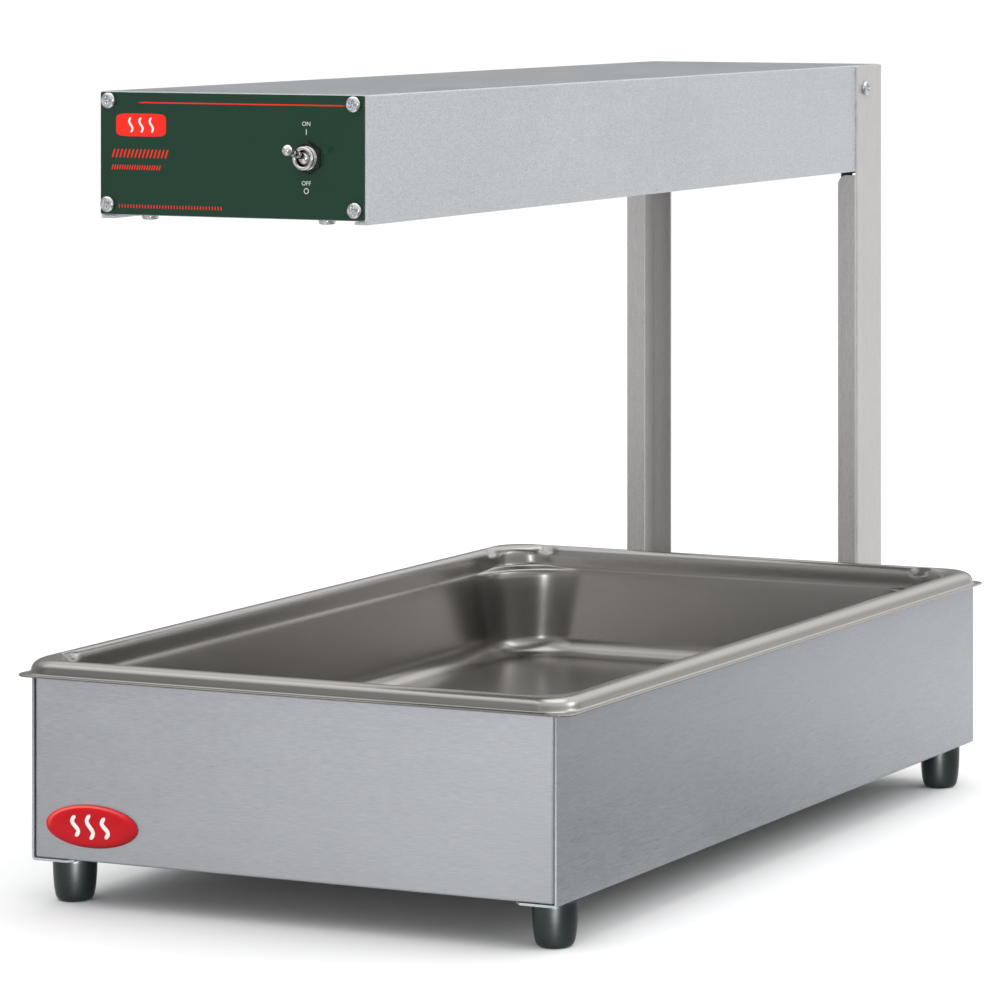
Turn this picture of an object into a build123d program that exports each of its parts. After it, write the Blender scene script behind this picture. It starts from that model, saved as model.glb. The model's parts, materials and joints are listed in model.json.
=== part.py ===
from build123d import *
from math import cos, radians, sin
import os

# Heat lamp warmer: a sheet-metal base carrying a lift-out full-size food pan, with a
# lamp housing cantilevered over the pan on two channel legs behind the base.
# Frame: +X right (seen from the control panel), -Y front, +Z up, millimetres, floor at z = 0.
# The pieces are laid out from the centre of the base's footprint; on export they all move
# along Y so that the middle of the overall length stands over the origin.

# ================================================================= shared dimensions
SIDES = (-1, 1)             # left and right, or front and rear

# base
BASE_W = 306.4              # width over the side panels
BASE_D = 520.8              # depth over the front and back panels
HALF_W, HALF_D = BASE_W / 2, BASE_D / 2
FOOT_H = 23.4               # floor to the underside of the base
BASE_TOP = 118.3            # visible top edge, level with the rim's outer lip
SHEET = 1.2                 # base and leg sheet thickness
BEND_R = 2.0                # outer bend radius
BOLT_HOLE_R = 2.7           # clearance for the foot screws and leg bolts

# feet
FOOT_IN_X = 12.25           # foot centre from the side panel
FOOT_IN_Y = 21.1            # foot centre from the front and back panels
FOOT_POINTS = [(side_x * (HALF_W - FOOT_IN_X), side_y * (HALF_D - FOOT_IN_Y))
               for side_x in SIDES for side_y in SIDES]
WASHER_Z = 8.0              # washer underside, in the foot's recess
WASHER_T = 1.0

# food pan
PAN_W, PAN_D = 324.5, 526.4         # full-size steam-table pan, 12-3/4 x 20-3/4 in over the rim
PAN_RIM_H = 8.3             # rim crown above the rim's underside
PAN_DEPTH = 65.0            # 2-1/2 in pan, crown to floor underside
PAN_T = 0.8
RIM_W = 12.2                # outer lip to the pan's wall
LIP_W = 2.1                 # flat outer lip of the rim
LIP_T = 0.9
PAN_BEHIND = 0.4            # gap from the pan's rim to the legs
RIM_SEAT = BASE_TOP + PAN_RIM_H - PAN_T - 0.05    # top of the side panels, in the hollow rim

# legs
LEG_X = 77.6                # outer face of each leg's web
LEG_Y0, LEG_Y1 = 260.6, 297.2       # front and back faces
LEG_Z0, LEG_TOP = 30.0, 422.6
LEG_FLANGE = 12.6
LEG_BOLTS = [(side * 70.8, z) for side in SIDES for z in (58.0, 98.0)]      # x, z
WEB_SCREW = (271.3, 409.1)          # y, z of the screw through each leg's web
WEB_SCREW_HOLE_R = 2.2

# lamp housing
HOUSING_W = 152.7           # nominal 6 in
HOUSING_HALF_W = HOUSING_W / 2
HOUSING_Z0, HOUSING_Z1 = 359.5, 423.0       # nominal 2-1/2 in high
HOUSING_Y0, HOUSING_Y1 = -312.0, 294.8      # front and back ends
HOUSING_T = 1.5             # extrusion wall
HOUSING_LIP = 7.0           # inward bottom lips
PORTS = [(-70.4, 418.4), (70.4, 418.4), (-71.0, 366.7), (71.0, 366.7)]      # screw ports, x, z

# end caps and control panel
CAP_T = 1.2
CAP_FLOOR = HOUSING_Z0 + HOUSING_T + 0.4    # underside of the caps' bottom flanges
FLANGE_TOP = CAP_FLOOR + CAP_T
CAP_HALF_W = 68.6           # bottom flanges
CAP_SCREWS = [(-52.9, -304.2), (49.2, -304.2)]                              # x, y
PORT_CLEARANCE_R = 1.8
PANEL_BACK_Y = HOUSING_Y0 - CAP_T
PANEL_T = 1.0
PANEL_FACE_Y = PANEL_BACK_Y - PANEL_T

# reflector and element
REFLECTOR_Y0, REFLECTOR_Y1 = -276.0, 262.0
REFLECTOR_ENDS = ((REFLECTOR_Y0, -1), (REFLECTOR_Y1, 1))    # y, outward direction along Y
REFLECTOR_T = 0.8
CROWN_Z = 397.2             # underside of the reflector's flat crown
ELEMENT_Z = 379.0
ELEMENT_OVERHANG = 6.0      # element past each end of the reflector
STUD_R = 1.6

# toggle switch
SWITCH_X, SWITCH_Z = 44.6, 391.8
SWITCH_POINT = (SWITCH_X, SWITCH_Z)
SWITCH_HOLE_R = 6.2
SWITCH_TILT = 15.0          # degrees, lever up at ON
SWITCH_WASHER_T = 0.9
SWITCH_FRONT_Y = HOUSING_Y0 + SWITCH_WASHER_T
SWITCH_BODY_D = 18.0
SWITCH_TERMINAL_Z = 8.0     # terminals above and below the axis
PIVOT_Y = -316.6
LEVER_BALL_Z = 17.5         # tip ball's centre, along the lever from its pivot
LEVER_BALL_R = 2.95

# cord
CORD_X, CORD_Y = 61.2, 281.5        # the cord drops beside the right leg's channel
CORD_R = 3.5
CORD_TOP = 372.0
PLUG_X, PLUG_Z = -8.0, 44.0         # where the cord enters the plug

# cross-recessed screws: slot is the length and width of each arm
BASE_SCREW = dict(head_radius=4.6, head_height=2.8, crown=1.2, slot=(4.6, 1.1),
                  shank_radius=2.4)
PORT_SCREW = dict(head_radius=3.95, head_height=2.5, crown=1.4, slot=(4.2, 1.0),
                  shank_radius=1.44)
CAP_SCREW = dict(head_radius=4.2, head_height=2.6, crown=1.4, slot=(4.2, 1.0),
                 shank_radius=1.9)
WEB_SCREW_SIZE = dict(head_radius=4.3, head_height=2.6, crown=1.4, slot=(4.4, 1.0),
                      shank_radius=1.95)
SLOT_DEPTH = 1.5
BASE_NUT = dict(apothem=4.0, bore=2.45)


# ================================================================= helpers
def plane_x(x):
    """Sketch plane at x: coordinates (y, z), extruding to the right."""
    return Plane.YZ.offset(x)


def plane_y(y):
    """Sketch plane at y: coordinates (x, z), extruding to the FRONT, towards -Y."""
    return Plane.XZ.offset(-y)


def plane_z(z):
    """Sketch plane at z: coordinates (x, y), extruding upwards."""
    return Plane.XY.offset(z)


def at(shapes, axis, value):
    """Those of the shapes centred at a position along an axis."""
    return shapes.filter_by_position(axis, value - 0.01, value + 0.01)


def merged(parts):
    with BuildPart() as whole:
        for part in parts:
            add(part)
    return whole.part


def mirrored(part):
    return merged([part.mirror(Plane.YZ)])


def both_sides(part):
    return merged([part, part.mirror(Plane.YZ)])


def cross_screws(seat, points, out, head_radius, head_height, crown, slot,
                 shank_radius, shank_length):
    """Screws on a seat plane, heads on its out side (1 along its normal, -1 against)."""
    with BuildPart() as screws:
        with BuildSketch(seat):
            with Locations(*points):
                Circle(head_radius)
        extrude(amount=out * head_height)
        head_axis = Axis(seat.origin, seat.z_dir * out)
        fillet(screws.faces().group_by(head_axis)[-1].edges(), radius=crown)
        with BuildSketch(seat.offset(out * head_height)):
            with Locations(*points):
                Rectangle(slot[0], slot[1])
                Rectangle(slot[1], slot[0])
        extrude(amount=-out * SLOT_DEPTH, mode=Mode.SUBTRACT)
        with BuildSketch(seat):
            with Locations(*points):
                Circle(shank_radius)
        extrude(amount=-out * shank_length)
    return screws.part


def hex_nuts(seat, points, apothem, bore, height, rotation=0):
    """Nuts on a seat plane; a negative height runs against its normal."""
    with BuildPart() as nuts:
        with BuildSketch(seat):
            with Locations(*points):
                RegularPolygon(apothem, 6, major_radius=False, rotation=rotation)
                Circle(bore, mode=Mode.SUBTRACT)
        extrude(amount=height)
    return nuts.part


def washers(seat, points, outer, bore, height):
    with BuildPart() as rings:
        with BuildSketch(seat):
            with Locations(*points):
                Circle(outer)
                Circle(bore, mode=Mode.SUBTRACT)
        extrude(amount=height)
    return rings.part


def round_wire(points, radius, bend):
    """A round wire swept along a polyline with rounded bends."""
    with BuildPart() as wire:
        with BuildLine() as run:
            FilletPolyline(*points, radius=bend)
        with BuildSketch(Plane(origin=run.line @ 0, z_dir=run.line % 0)):
            Circle(radius)
        sweep()
    return wire.part


# ================================================================= base
def pressed_panel(side):
    """Front (-1) or back (1) panel: face with side returns, a narrow top return and a
    bottom return."""
    half_width = HALF_W - SHEET - 0.35      # it stands between the side panels
    bottom = FOOT_H + SHEET + 0.3
    height = BASE_TOP - bottom
    mid_z = (bottom + BASE_TOP) / 2
    depth = 14
    top_return = 5
    cut_length = 20         # reaches past the panel's open side
    outermost = 0 if side < 0 else -1
    with BuildPart() as panel:
        with BuildSketch(plane_y(side * HALF_D)):
            with Locations((0, mid_z)):
                Rectangle(2 * half_width, height)
        extrude(amount=side * depth)
        fillet(panel.edges().filter_by(Axis.Z).group_by(Axis.Y)[outermost], radius=BEND_R)
        fillet(panel.faces().sort_by(Axis.Y)[outermost].edges(), radius=1.3)
        with BuildSketch(plane_y(side * (HALF_D - SHEET))):
            with Locations((0, mid_z)):
                Rectangle(2 * (half_width - SHEET), height - 2 * SHEET)
        extrude(amount=side * cut_length, mode=Mode.SUBTRACT)
        with Locations((0, side * (HALF_D - top_return - cut_length / 2), BASE_TOP)):
            Box(BASE_W, cut_length, 2 * SHEET + 0.4, mode=Mode.SUBTRACT)
    return panel.part


def front_panel():
    return pressed_panel(-1)


def back_panel():
    blank = pressed_panel(1)
    with BuildPart() as panel:
        add(blank)
        with BuildSketch(plane_y(HALF_D + 1)):
            with Locations(*LEG_BOLTS):
                Circle(BOLT_HOLE_R)
        extrude(amount=6, mode=Mode.SUBTRACT)
    return panel.part


def right_side_panel():
    """Web with a bottom flange that carries two feet."""
    flange_x = HALF_W - 24.0        # inner edge of the flange
    web_x = HALF_W - SHEET          # inner face of the web
    flange_top = FOOT_H + SHEET
    with BuildPart() as panel:
        with BuildSketch(plane_y(-HALF_D)):
            with BuildLine():
                Polyline((HALF_W, BASE_TOP), (HALF_W, FOOT_H), (flange_x, FOOT_H),
                         (flange_x, flange_top), (web_x, flange_top), (web_x, BASE_TOP),
                         close=True)
            make_face()
        extrude(amount=-BASE_D)
        # outside of the bend, then its inside
        fillet(panel.edges().filter_by(Axis.Y).group_by(Axis.Z)[0].sort_by(Axis.X)[-1],
               radius=BEND_R)
        fillet(at(panel.edges().filter_by(Axis.Y), Axis.Z, flange_top).sort_by(Axis.X)[-1],
               radius=0.8)
        with BuildSketch(plane_z(FOOT_H - 1)):
            with Locations(*[point for point in FOOT_POINTS if point[0] > 0]):
                Circle(BOLT_HOLE_R)
        extrude(amount=SHEET + 2, mode=Mode.SUBTRACT)
        chamfer(at(panel.edges().filter_by(Axis.Z), Axis.X, flange_x), length=3.0)
        # raised edge inside the pan's hollow rim, which the rim rests on
        with Locations((HALF_W - SHEET / 2, -2.0, (BASE_TOP + RIM_SEAT) / 2)):
            Box(SHEET, 496.0, RIM_SEAT - BASE_TOP)
    return panel.part


def left_side_panel():
    return mirrored(right_side_panel())


def feet():
    """Tapered rubber, slightly convex, recessed underneath for the screw and washer."""
    top_r, bottom_r = 11.5, 10.2
    bore_r, recess_r = 2.6, 5.6
    recess_z = WASHER_Z + WASHER_T
    with BuildPart() as foot:
        with BuildSketch(Plane.XZ):
            with BuildLine():
                Line((bore_r, FOOT_H), (top_r, FOOT_H))
                ThreePointArc((top_r, FOOT_H), (top_r - 0.25, 13.0), (bottom_r - 0.2, 3.2))
                ThreePointArc((bottom_r - 0.2, 3.2), (bottom_r - 1.2, 1.0),
                              (bottom_r - 3.4, 0.0))
                Polyline((bottom_r - 3.4, 0.0), (recess_r, 0.0), (recess_r, recess_z),
                         (bore_r, recess_z), (bore_r, FOOT_H))
            make_face()
        revolve(axis=Axis.Z)
    with BuildPart() as all_feet:
        with Locations(*[(x, y, 0) for x, y in FOOT_POINTS]):
            add(foot.part)
    return all_feet.part


def foot_washers():
    return washers(plane_z(WASHER_Z), FOOT_POINTS, outer=5.4, bore=2.6, height=WASHER_T)


def foot_screws():
    return cross_screws(plane_z(WASHER_Z), FOOT_POINTS, out=-1, shank_length=22.0,
                        **BASE_SCREW)


def foot_nuts():
    return hex_nuts(plane_z(FOOT_H + SHEET), FOOT_POINTS, height=4.0, **BASE_NUT)


def badge():
    """Oval domed plate stuck to the front panel."""
    with BuildPart() as plate:
        with BuildSketch(plane_y(-HALF_D)):
            with Locations((-116.4, 43.3)):
                Ellipse(27.7, 11.05)
        extrude(amount=2.2)
        fillet(plate.faces().sort_by(Axis.Y)[0].edges(), radius=1.2)
    return plate.part


# ================================================================= food pan
WALL_W, WALL_D = PAN_W - 2 * RIM_W, PAN_D - 2 * RIM_W
WALL_CORNER = 32.0
PAN_CROWN = BASE_TOP + PAN_RIM_H
PAN_BOTTOM = PAN_CROWN - PAN_DEPTH

# Lofted sections: z, reduction from the wall's width and depth at the top, corner radius
PAN_BODY = [
    (BASE_TOP + LIP_T, 0, WALL_CORNER),
    (PAN_BOTTOM, 12.0, 28.0),
]
PAN_UPPER_CAVITY = [
    (PAN_CROWN + 0.1, 2 * PAN_T - 1.2, WALL_CORNER),
    (PAN_BOTTOM + 13.0, 2 * PAN_T + 9.6, 28.8),
]
PAN_LOWER_CAVITY = [
    (PAN_BOTTOM + 13.2, 2 * PAN_T + 9.6, 28.8),
    (PAN_BOTTOM + 7.0, 2 * PAN_T + 12.4, 27.0),
    (PAN_BOTTOM + 2.6, 2 * PAN_T + 19.0, 24.0),
    (PAN_BOTTOM + PAN_T, 2 * PAN_T + 30.0, 18.5),
]


def pan_plane(z):
    """Level plane centred on the pan."""
    return Plane(origin=(0, LEG_Y0 - PAN_BEHIND - PAN_D / 2, z),
                 x_dir=(1, 0, 0), z_dir=(0, 0, 1))


def rim_hollow():
    """Underside hollow of the rolled rim."""
    inset = 2 * LIP_W + 2 * LIP_T
    with BuildPart() as hollow:
        with BuildSketch(pan_plane(BASE_TOP - 1)):
            RectangleRounded(PAN_W - inset, PAN_D - inset, 15.0)
        extrude(amount=PAN_RIM_H + 1 - PAN_T)
        fillet(hollow.faces().sort_by(Axis.Z)[-1].edges(), radius=4.6)
        with BuildSketch(pan_plane(BASE_TOP - 2)):
            RectangleRounded(WALL_W, WALL_D, WALL_CORNER)
        extrude(amount=PAN_RIM_H + 5, mode=Mode.SUBTRACT)
    return hollow.part


def food_pan():
    hollow = rim_hollow()
    with BuildPart() as pan:
        # flat lip and domed rim
        with BuildSketch(pan_plane(BASE_TOP)):
            RectangleRounded(PAN_W, PAN_D, 10.0)
        extrude(amount=LIP_T)
        with BuildSketch(pan_plane(BASE_TOP)):
            RectangleRounded(PAN_W - 2 * LIP_W, PAN_D - 2 * LIP_W, 16.0)
        extrude(amount=PAN_RIM_H)
        fillet(pan.faces().sort_by(Axis.Z)[-1].edges(), radius=5.4)
        # tapered body
        for z, reduction, corner in PAN_BODY:
            with BuildSketch(pan_plane(z)):
                RectangleRounded(WALL_W - reduction, WALL_D - reduction, corner)
        loft()
        fillet(pan.faces().sort_by(Axis.Z)[0].edges(), radius=12.0)
        # cavity
        for z, reduction, corner in PAN_UPPER_CAVITY:
            with BuildSketch(pan_plane(z)):
                RectangleRounded(WALL_W - reduction, WALL_D - reduction, corner)
        loft(mode=Mode.SUBTRACT)
        for z, reduction, corner in PAN_LOWER_CAVITY:
            with BuildSketch(pan_plane(z)):
                RectangleRounded(WALL_W - reduction, WALL_D - reduction, corner)
        loft(ruled=True, mode=Mode.SUBTRACT)
        add(hollow, mode=Mode.SUBTRACT)
    return pan.part


# ================================================================= legs
def right_leg():
    """Channel with its web outwards and its flanges at the front and back."""
    flange_x = LEG_X - LEG_FLANGE
    web_x = LEG_X - SHEET
    front_flange_top = 357.2        # it stops under the housing
    cut_w, cut_h = 20, 100
    corner_r = 2.5
    with BuildPart() as leg:
        with BuildSketch(plane_z(LEG_Z0)):
            with BuildLine():
                Polyline((flange_x, LEG_Y0), (LEG_X, LEG_Y0), (LEG_X, LEG_Y1),
                         (flange_x, LEG_Y1), (flange_x, LEG_Y1 - SHEET),
                         (web_x, LEG_Y1 - SHEET), (web_x, LEG_Y0 + SHEET),
                         (flange_x, LEG_Y0 + SHEET), close=True)
            make_face()
        extrude(amount=LEG_TOP - LEG_Z0)
        fillet(leg.edges().filter_by(Axis.Z).group_by(Axis.X)[-1], radius=BEND_R)
        with Locations((web_x - cut_w / 2, LEG_Y0 + SHEET / 2, front_flange_top + cut_h / 2)):
            Box(cut_w, 2 * SHEET, cut_h, mode=Mode.SUBTRACT)
        flange_ends = at(leg.edges().filter_by(Axis.Y), Axis.X, flange_x)
        fillet(at(flange_ends, Axis.Z, front_flange_top), radius=6.0)
        # rounded top front corner of the web
        with BuildSketch(plane_x(LEG_X - 5)):
            with Locations((LEG_Y0, LEG_TOP)):
                Rectangle(2 * corner_r, 2 * corner_r)
            with Locations((LEG_Y0 + corner_r, LEG_TOP - corner_r)):
                Circle(corner_r, mode=Mode.SUBTRACT)
        extrude(amount=6, mode=Mode.SUBTRACT)
        # bolt holes to the base
        with BuildSketch(plane_y(LEG_Y0 - 1)):
            with Locations(*[point for point in LEG_BOLTS if point[0] > 0]):
                Circle(BOLT_HOLE_R)
        extrude(amount=-4, mode=Mode.SUBTRACT)
        # screw hole in the web, and two in the back flange behind the housing
        with BuildSketch(plane_x(LEG_X + 1)):
            with Locations(WEB_SCREW):
                Circle(WEB_SCREW_HOLE_R)
        extrude(amount=-4, mode=Mode.SUBTRACT)
        with BuildSketch(plane_y(LEG_Y1 + 1)):
            with Locations(*[point for point in PORTS if point[0] > 0]):
                Circle(1.9)
        extrude(amount=4, mode=Mode.SUBTRACT)
    return leg.part


def left_leg():
    return mirrored(right_leg())


def leg_bolts():
    """Bolts with their heads inside the base."""
    return cross_screws(plane_y(HALF_D - SHEET), LEG_BOLTS, out=1, shank_length=9.4,
                        **BASE_SCREW)


def leg_nuts():
    return hex_nuts(plane_y(LEG_Y0 + SHEET), LEG_BOLTS, height=-4.0, **BASE_NUT)


# ================================================================= lamp housing
def housing_shell():
    """Extruded shell: top, sides, bottom lips and four screw ports."""
    height = HOUSING_Z1 - HOUSING_Z0
    web_w = 4.8             # web joining each port to its side wall
    with BuildPart() as shell:
        with BuildSketch(plane_y(HOUSING_Y0)):
            with Locations((0, (HOUSING_Z0 + HOUSING_Z1) / 2)):
                Rectangle(HOUSING_W, height)
                Rectangle(HOUSING_W - 2 * HOUSING_T, height - 2 * HOUSING_T,
                          mode=Mode.SUBTRACT)
            with Locations((0, HOUSING_Z0)):
                Rectangle(HOUSING_W - 2 * HOUSING_LIP, 4 * HOUSING_T, mode=Mode.SUBTRACT)
            with Locations(*PORTS):
                Circle(3.2)
            with Locations(*[(x + (web_w / 2 if x > 0 else -web_w / 2), z) for x, z in PORTS]):
                Rectangle(web_w, 2.4)
            with Locations(*PORTS):
                Circle(1.5, mode=Mode.SUBTRACT)
        extrude(amount=-(HOUSING_Y1 - HOUSING_Y0))
        fillet(at(shell.edges().filter_by(Axis.Y), Axis.Z, HOUSING_Z1), radius=0.9)
        # leg screw holes in the side walls
        for side in SIDES:
            with BuildSketch(plane_x(side * (HOUSING_HALF_W + 1))):
                with Locations(WEB_SCREW):
                    Circle(WEB_SCREW_HOLE_R)
            extrude(amount=-side * (HOUSING_T + 2), mode=Mode.SUBTRACT)
    return shell.part


def end_cap(shell_y, reflector_y, out, face_holes, flange_holes):
    """Plate over the shell's end, with a bottom flange reaching in to the reflector.
    out is the outward direction along Y; holes are (x, z, radius) in the plate and
    (x, y, radius) in the flange."""
    plate_top = HOUSING_Z1 - 0.2
    outer_y = shell_y + out * CAP_T
    inner_y = reflector_y + out * 0.4
    with BuildPart() as cap:
        with BuildSketch(plane_y(shell_y)):
            with Locations((0, (CAP_FLOOR + plate_top) / 2)):
                Rectangle(HOUSING_W - 0.3, plate_top - CAP_FLOOR)
            for x, z, radius in face_holes:
                with Locations((x, z)):
                    Circle(radius, mode=Mode.SUBTRACT)
        extrude(amount=-out * CAP_T)
        with BuildSketch(plane_z(CAP_FLOOR)):
            with Locations((0, (outer_y + inner_y) / 2)):
                Rectangle(2 * CAP_HALF_W, abs(outer_y - inner_y))
            for x, y, radius in flange_holes:
                with Locations((x, y)):
                    Circle(radius, mode=Mode.SUBTRACT)
        extrude(amount=CAP_T)
    return cap.part


PORT_HOLES = [(x, z, PORT_CLEARANCE_R) for x, z in PORTS]


def front_end_cap():
    """Its flange closes the switch compartment."""
    return end_cap(HOUSING_Y0, REFLECTOR_Y0, -1,
                   face_holes=PORT_HOLES + [(SWITCH_X, SWITCH_Z, SWITCH_HOLE_R)],
                   flange_holes=[(x, y, 2.2) for x, y in CAP_SCREWS])


def rear_end_cap():
    """Clamped by the legs' back flanges; the cord leaves through its flange."""
    return end_cap(HOUSING_Y1, REFLECTOR_Y1, 1,
                   face_holes=PORT_HOLES, flange_holes=[(CORD_X, CORD_Y, 4.8)])


def control_panel():
    """Printed plate over the front end cap."""
    bottom, top = 361.7, 422.6
    with BuildPart() as panel:
        with BuildSketch(plane_y(PANEL_BACK_Y)):
            with Locations((0.3, (bottom + top) / 2)):
                RectangleRounded(151.6, top - bottom, 1.2)
            with Locations(*PORTS):
                Circle(PORT_CLEARANCE_R, mode=Mode.SUBTRACT)
            with Locations(SWITCH_POINT):
                Circle(SWITCH_HOLE_R, mode=Mode.SUBTRACT)
        extrude(amount=PANEL_T)
    return panel.part


def panel_screws():
    return cross_screws(plane_y(PANEL_FACE_Y), PORTS, out=1, shank_length=12.0, **PORT_SCREW)


def cap_screws():
    return cross_screws(plane_z(CAP_FLOOR), CAP_SCREWS, out=-1, shank_length=6.0, **CAP_SCREW)


def rear_cap_screws():
    return cross_screws(plane_y(LEG_Y1), PORTS, out=-1, shank_length=12.0, **PORT_SCREW)


def leg_web_screws():
    """One screw through each leg's web into the housing's side."""
    return both_sides(cross_screws(plane_x(LEG_X), [WEB_SCREW], out=1, shank_length=8.0,
                                   **WEB_SCREW_SIZE))


def leg_web_nuts():
    return both_sides(hex_nuts(plane_x(HOUSING_HALF_W - HOUSING_T), [WEB_SCREW],
                               apothem=3.5, bore=2.0, height=-3.0))


# ================================================================= reflector and element
REFLECTOR_Z0 = 361.1        # underside of the reflector's bottom flanges

# Right halves of the reflector's section, from the crown outwards: x, z
REFLECTOR_UNDERSIDE = [(30.0, CROWN_Z), (47.0, 386.0), (62.6, REFLECTOR_Z0),
                       (68.8, REFLECTOR_Z0)]
REFLECTOR_TOPSIDE = [(30.3, CROWN_Z + REFLECTOR_T), (47.6, 386.6),
                     (63.05, REFLECTOR_Z0 + REFLECTOR_T), (68.8, REFLECTOR_Z0 + REFLECTOR_T)]

# Right half of an end plate's outline, from the bottom up: x, z
END_PLATE_W = 120.0
END_PLATE = [(END_PLATE_W / 2, FLANGE_TOP), (END_PLATE_W / 2, 372.0), (36.0, 404.0)]


def flipped(points):
    """The same points on the left side, in reverse order."""
    return [(-x, z) for x, z in reversed(points)]


def reflector():
    outline = (flipped(REFLECTOR_UNDERSIDE) + REFLECTOR_UNDERSIDE
               + REFLECTOR_TOPSIDE[::-1] + flipped(REFLECTOR_TOPSIDE[::-1]))
    with BuildPart() as trough:
        with BuildSketch(plane_y(REFLECTOR_Y0)):
            with BuildLine():
                Polyline(*outline, close=True)
            make_face()
        extrude(amount=-(REFLECTOR_Y1 - REFLECTOR_Y0))
    return trough.part


def reflector_ends():
    """End plates; the front one is folded forwards to screw down on the cap's flange."""
    fold = 30.4
    with BuildPart() as plates:
        for end_y, out in REFLECTOR_ENDS:
            with BuildSketch(plane_y(end_y)):
                with BuildLine():
                    Polyline(*END_PLATE, *flipped(END_PLATE), close=True)
                make_face()
                with Locations((0, ELEMENT_Z)):
                    Circle(6.1, mode=Mode.SUBTRACT)
            extrude(amount=-out * REFLECTOR_T)
        with BuildSketch(plane_z(FLANGE_TOP)):
            with Locations((0, REFLECTOR_Y0 - REFLECTOR_T - fold / 2)):
                Rectangle(END_PLATE_W, fold)
            with Locations(*CAP_SCREWS):
                Circle(1.95, mode=Mode.SUBTRACT)
        extrude(amount=REFLECTOR_T)
    return plates.part


def element_insulators():
    """Ceramic bushings in the end plates, each with a collar inside the reflector."""
    collar = 3.0
    with BuildPart() as insulators:
        for end_y, out in REFLECTOR_ENDS:
            for radius, length in ((6.0, 7.0), (8.5, collar)):
                with BuildSketch(plane_y(end_y - out * collar)):
                    with Locations((0, ELEMENT_Z)):
                        Circle(radius)
                        Circle(4.06, mode=Mode.SUBTRACT)
                extrude(amount=-out * length)
    return insulators.part


def heating_element():
    """Straight tubular sheathed element."""
    with BuildPart() as element:
        with BuildSketch(plane_y(REFLECTOR_Y0 - ELEMENT_OVERHANG)):
            with Locations((0, ELEMENT_Z)):
                Circle(4.0)
        extrude(amount=-(REFLECTOR_Y1 - REFLECTOR_Y0 + 2 * ELEMENT_OVERHANG))
    return element.part


def element_terminals():
    """A stud with a hexagon at each end of the element."""
    with BuildPart() as terminals:
        for end_y, out in REFLECTOR_ENDS:
            stud_y = end_y + out * ELEMENT_OVERHANG
            with BuildSketch(plane_y(stud_y)):
                with Locations((0, ELEMENT_Z)):
                    Circle(STUD_R)
            extrude(amount=-out * 10.0)
            with BuildSketch(plane_y(stud_y + out * 2.0)):
                with Locations((0, ELEMENT_Z)):
                    RegularPolygon(3.2, 6, major_radius=False)
            extrude(amount=-out * 2.6)
    return terminals.part


def element_hangers():
    """Wire hangers that steady the element's middle from the reflector's crown."""
    top = CROWN_Z - 0.1
    stem_z = ELEMENT_Z + 5.0        # stem's lower end, within the ring
    with BuildPart() as hangers:
        for y in (-98.0, 84.0):
            with BuildSketch(plane_y(y)):
                with Locations((0, ELEMENT_Z)):
                    Circle(5.6)
                    Circle(4.1, mode=Mode.SUBTRACT)
                with Locations((0, (stem_z + top) / 2)):
                    Rectangle(1.5, top - stem_z)
                with Locations((0, top - 0.5)):
                    Rectangle(14.0, 1.0)
            extrude(amount=-2.0)
    return hangers.part


# ================================================================= toggle switch
def switch_body():
    with BuildPart() as body:
        with BuildSketch(plane_y(SWITCH_FRONT_Y)):
            with Locations(SWITCH_POINT):
                RectangleRounded(16.0, 26.0, 1.5)
        extrude(amount=-SWITCH_BODY_D)
        # blind hole in the front, around the lever's tail
        with BuildSketch(plane_y(HOUSING_Y0 - 1.0)):
            with Locations(SWITCH_POINT):
                Circle(4.2)
        extrude(amount=-12.0, mode=Mode.SUBTRACT)
    return body.part


def switch_washer():
    return washers(plane_y(HOUSING_Y0), [SWITCH_POINT], outer=8.6, bore=6.1,
                   height=-SWITCH_WASHER_T)


def switch_bushing():
    """Bushing bored for the lever's swing, with a cross hole for the pivot pin."""
    tip_y = -320.2
    pin_hole_half = 5.6
    with BuildPart() as bushing:
        with BuildSketch(plane_y(SWITCH_FRONT_Y)):
            with Locations(SWITCH_POINT):
                Circle(6.0)
        extrude(amount=SWITCH_FRONT_Y - tip_y)
        chamfer(bushing.faces().sort_by(Axis.Y)[0].edges(), length=0.5)
        with BuildSketch(plane_y(SWITCH_FRONT_Y + 5)):
            with Locations(SWITCH_POINT):
                Circle(4.0)
        extrude(amount=40, mode=Mode.SUBTRACT)
        # the mouth of the bore is the shorter edge of the front face
        mouth = bushing.faces().sort_by(Axis.Y)[0].edges().sort_by(SortBy.LENGTH)[0]
        chamfer(mouth, length=0.9)
        with BuildSketch(plane_x(SWITCH_X - pin_hole_half)):
            with Locations((PIVOT_Y, SWITCH_Z)):
                Circle(0.62)
        extrude(amount=2 * pin_hole_half, mode=Mode.SUBTRACT)
    return bushing.part


def switch_nut():
    return hex_nuts(plane_y(PANEL_FACE_Y), [SWITCH_POINT], apothem=7.0, bore=6.06,
                    height=2.3, rotation=30)


def switch_pin():
    half_length = 5.4
    with BuildPart() as pin:
        with BuildSketch(plane_x(SWITCH_X - half_length)):
            with Locations((PIVOT_Y, SWITCH_Z)):
                Circle(0.6)
        extrude(amount=2 * half_length)
    return pin.part


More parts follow.
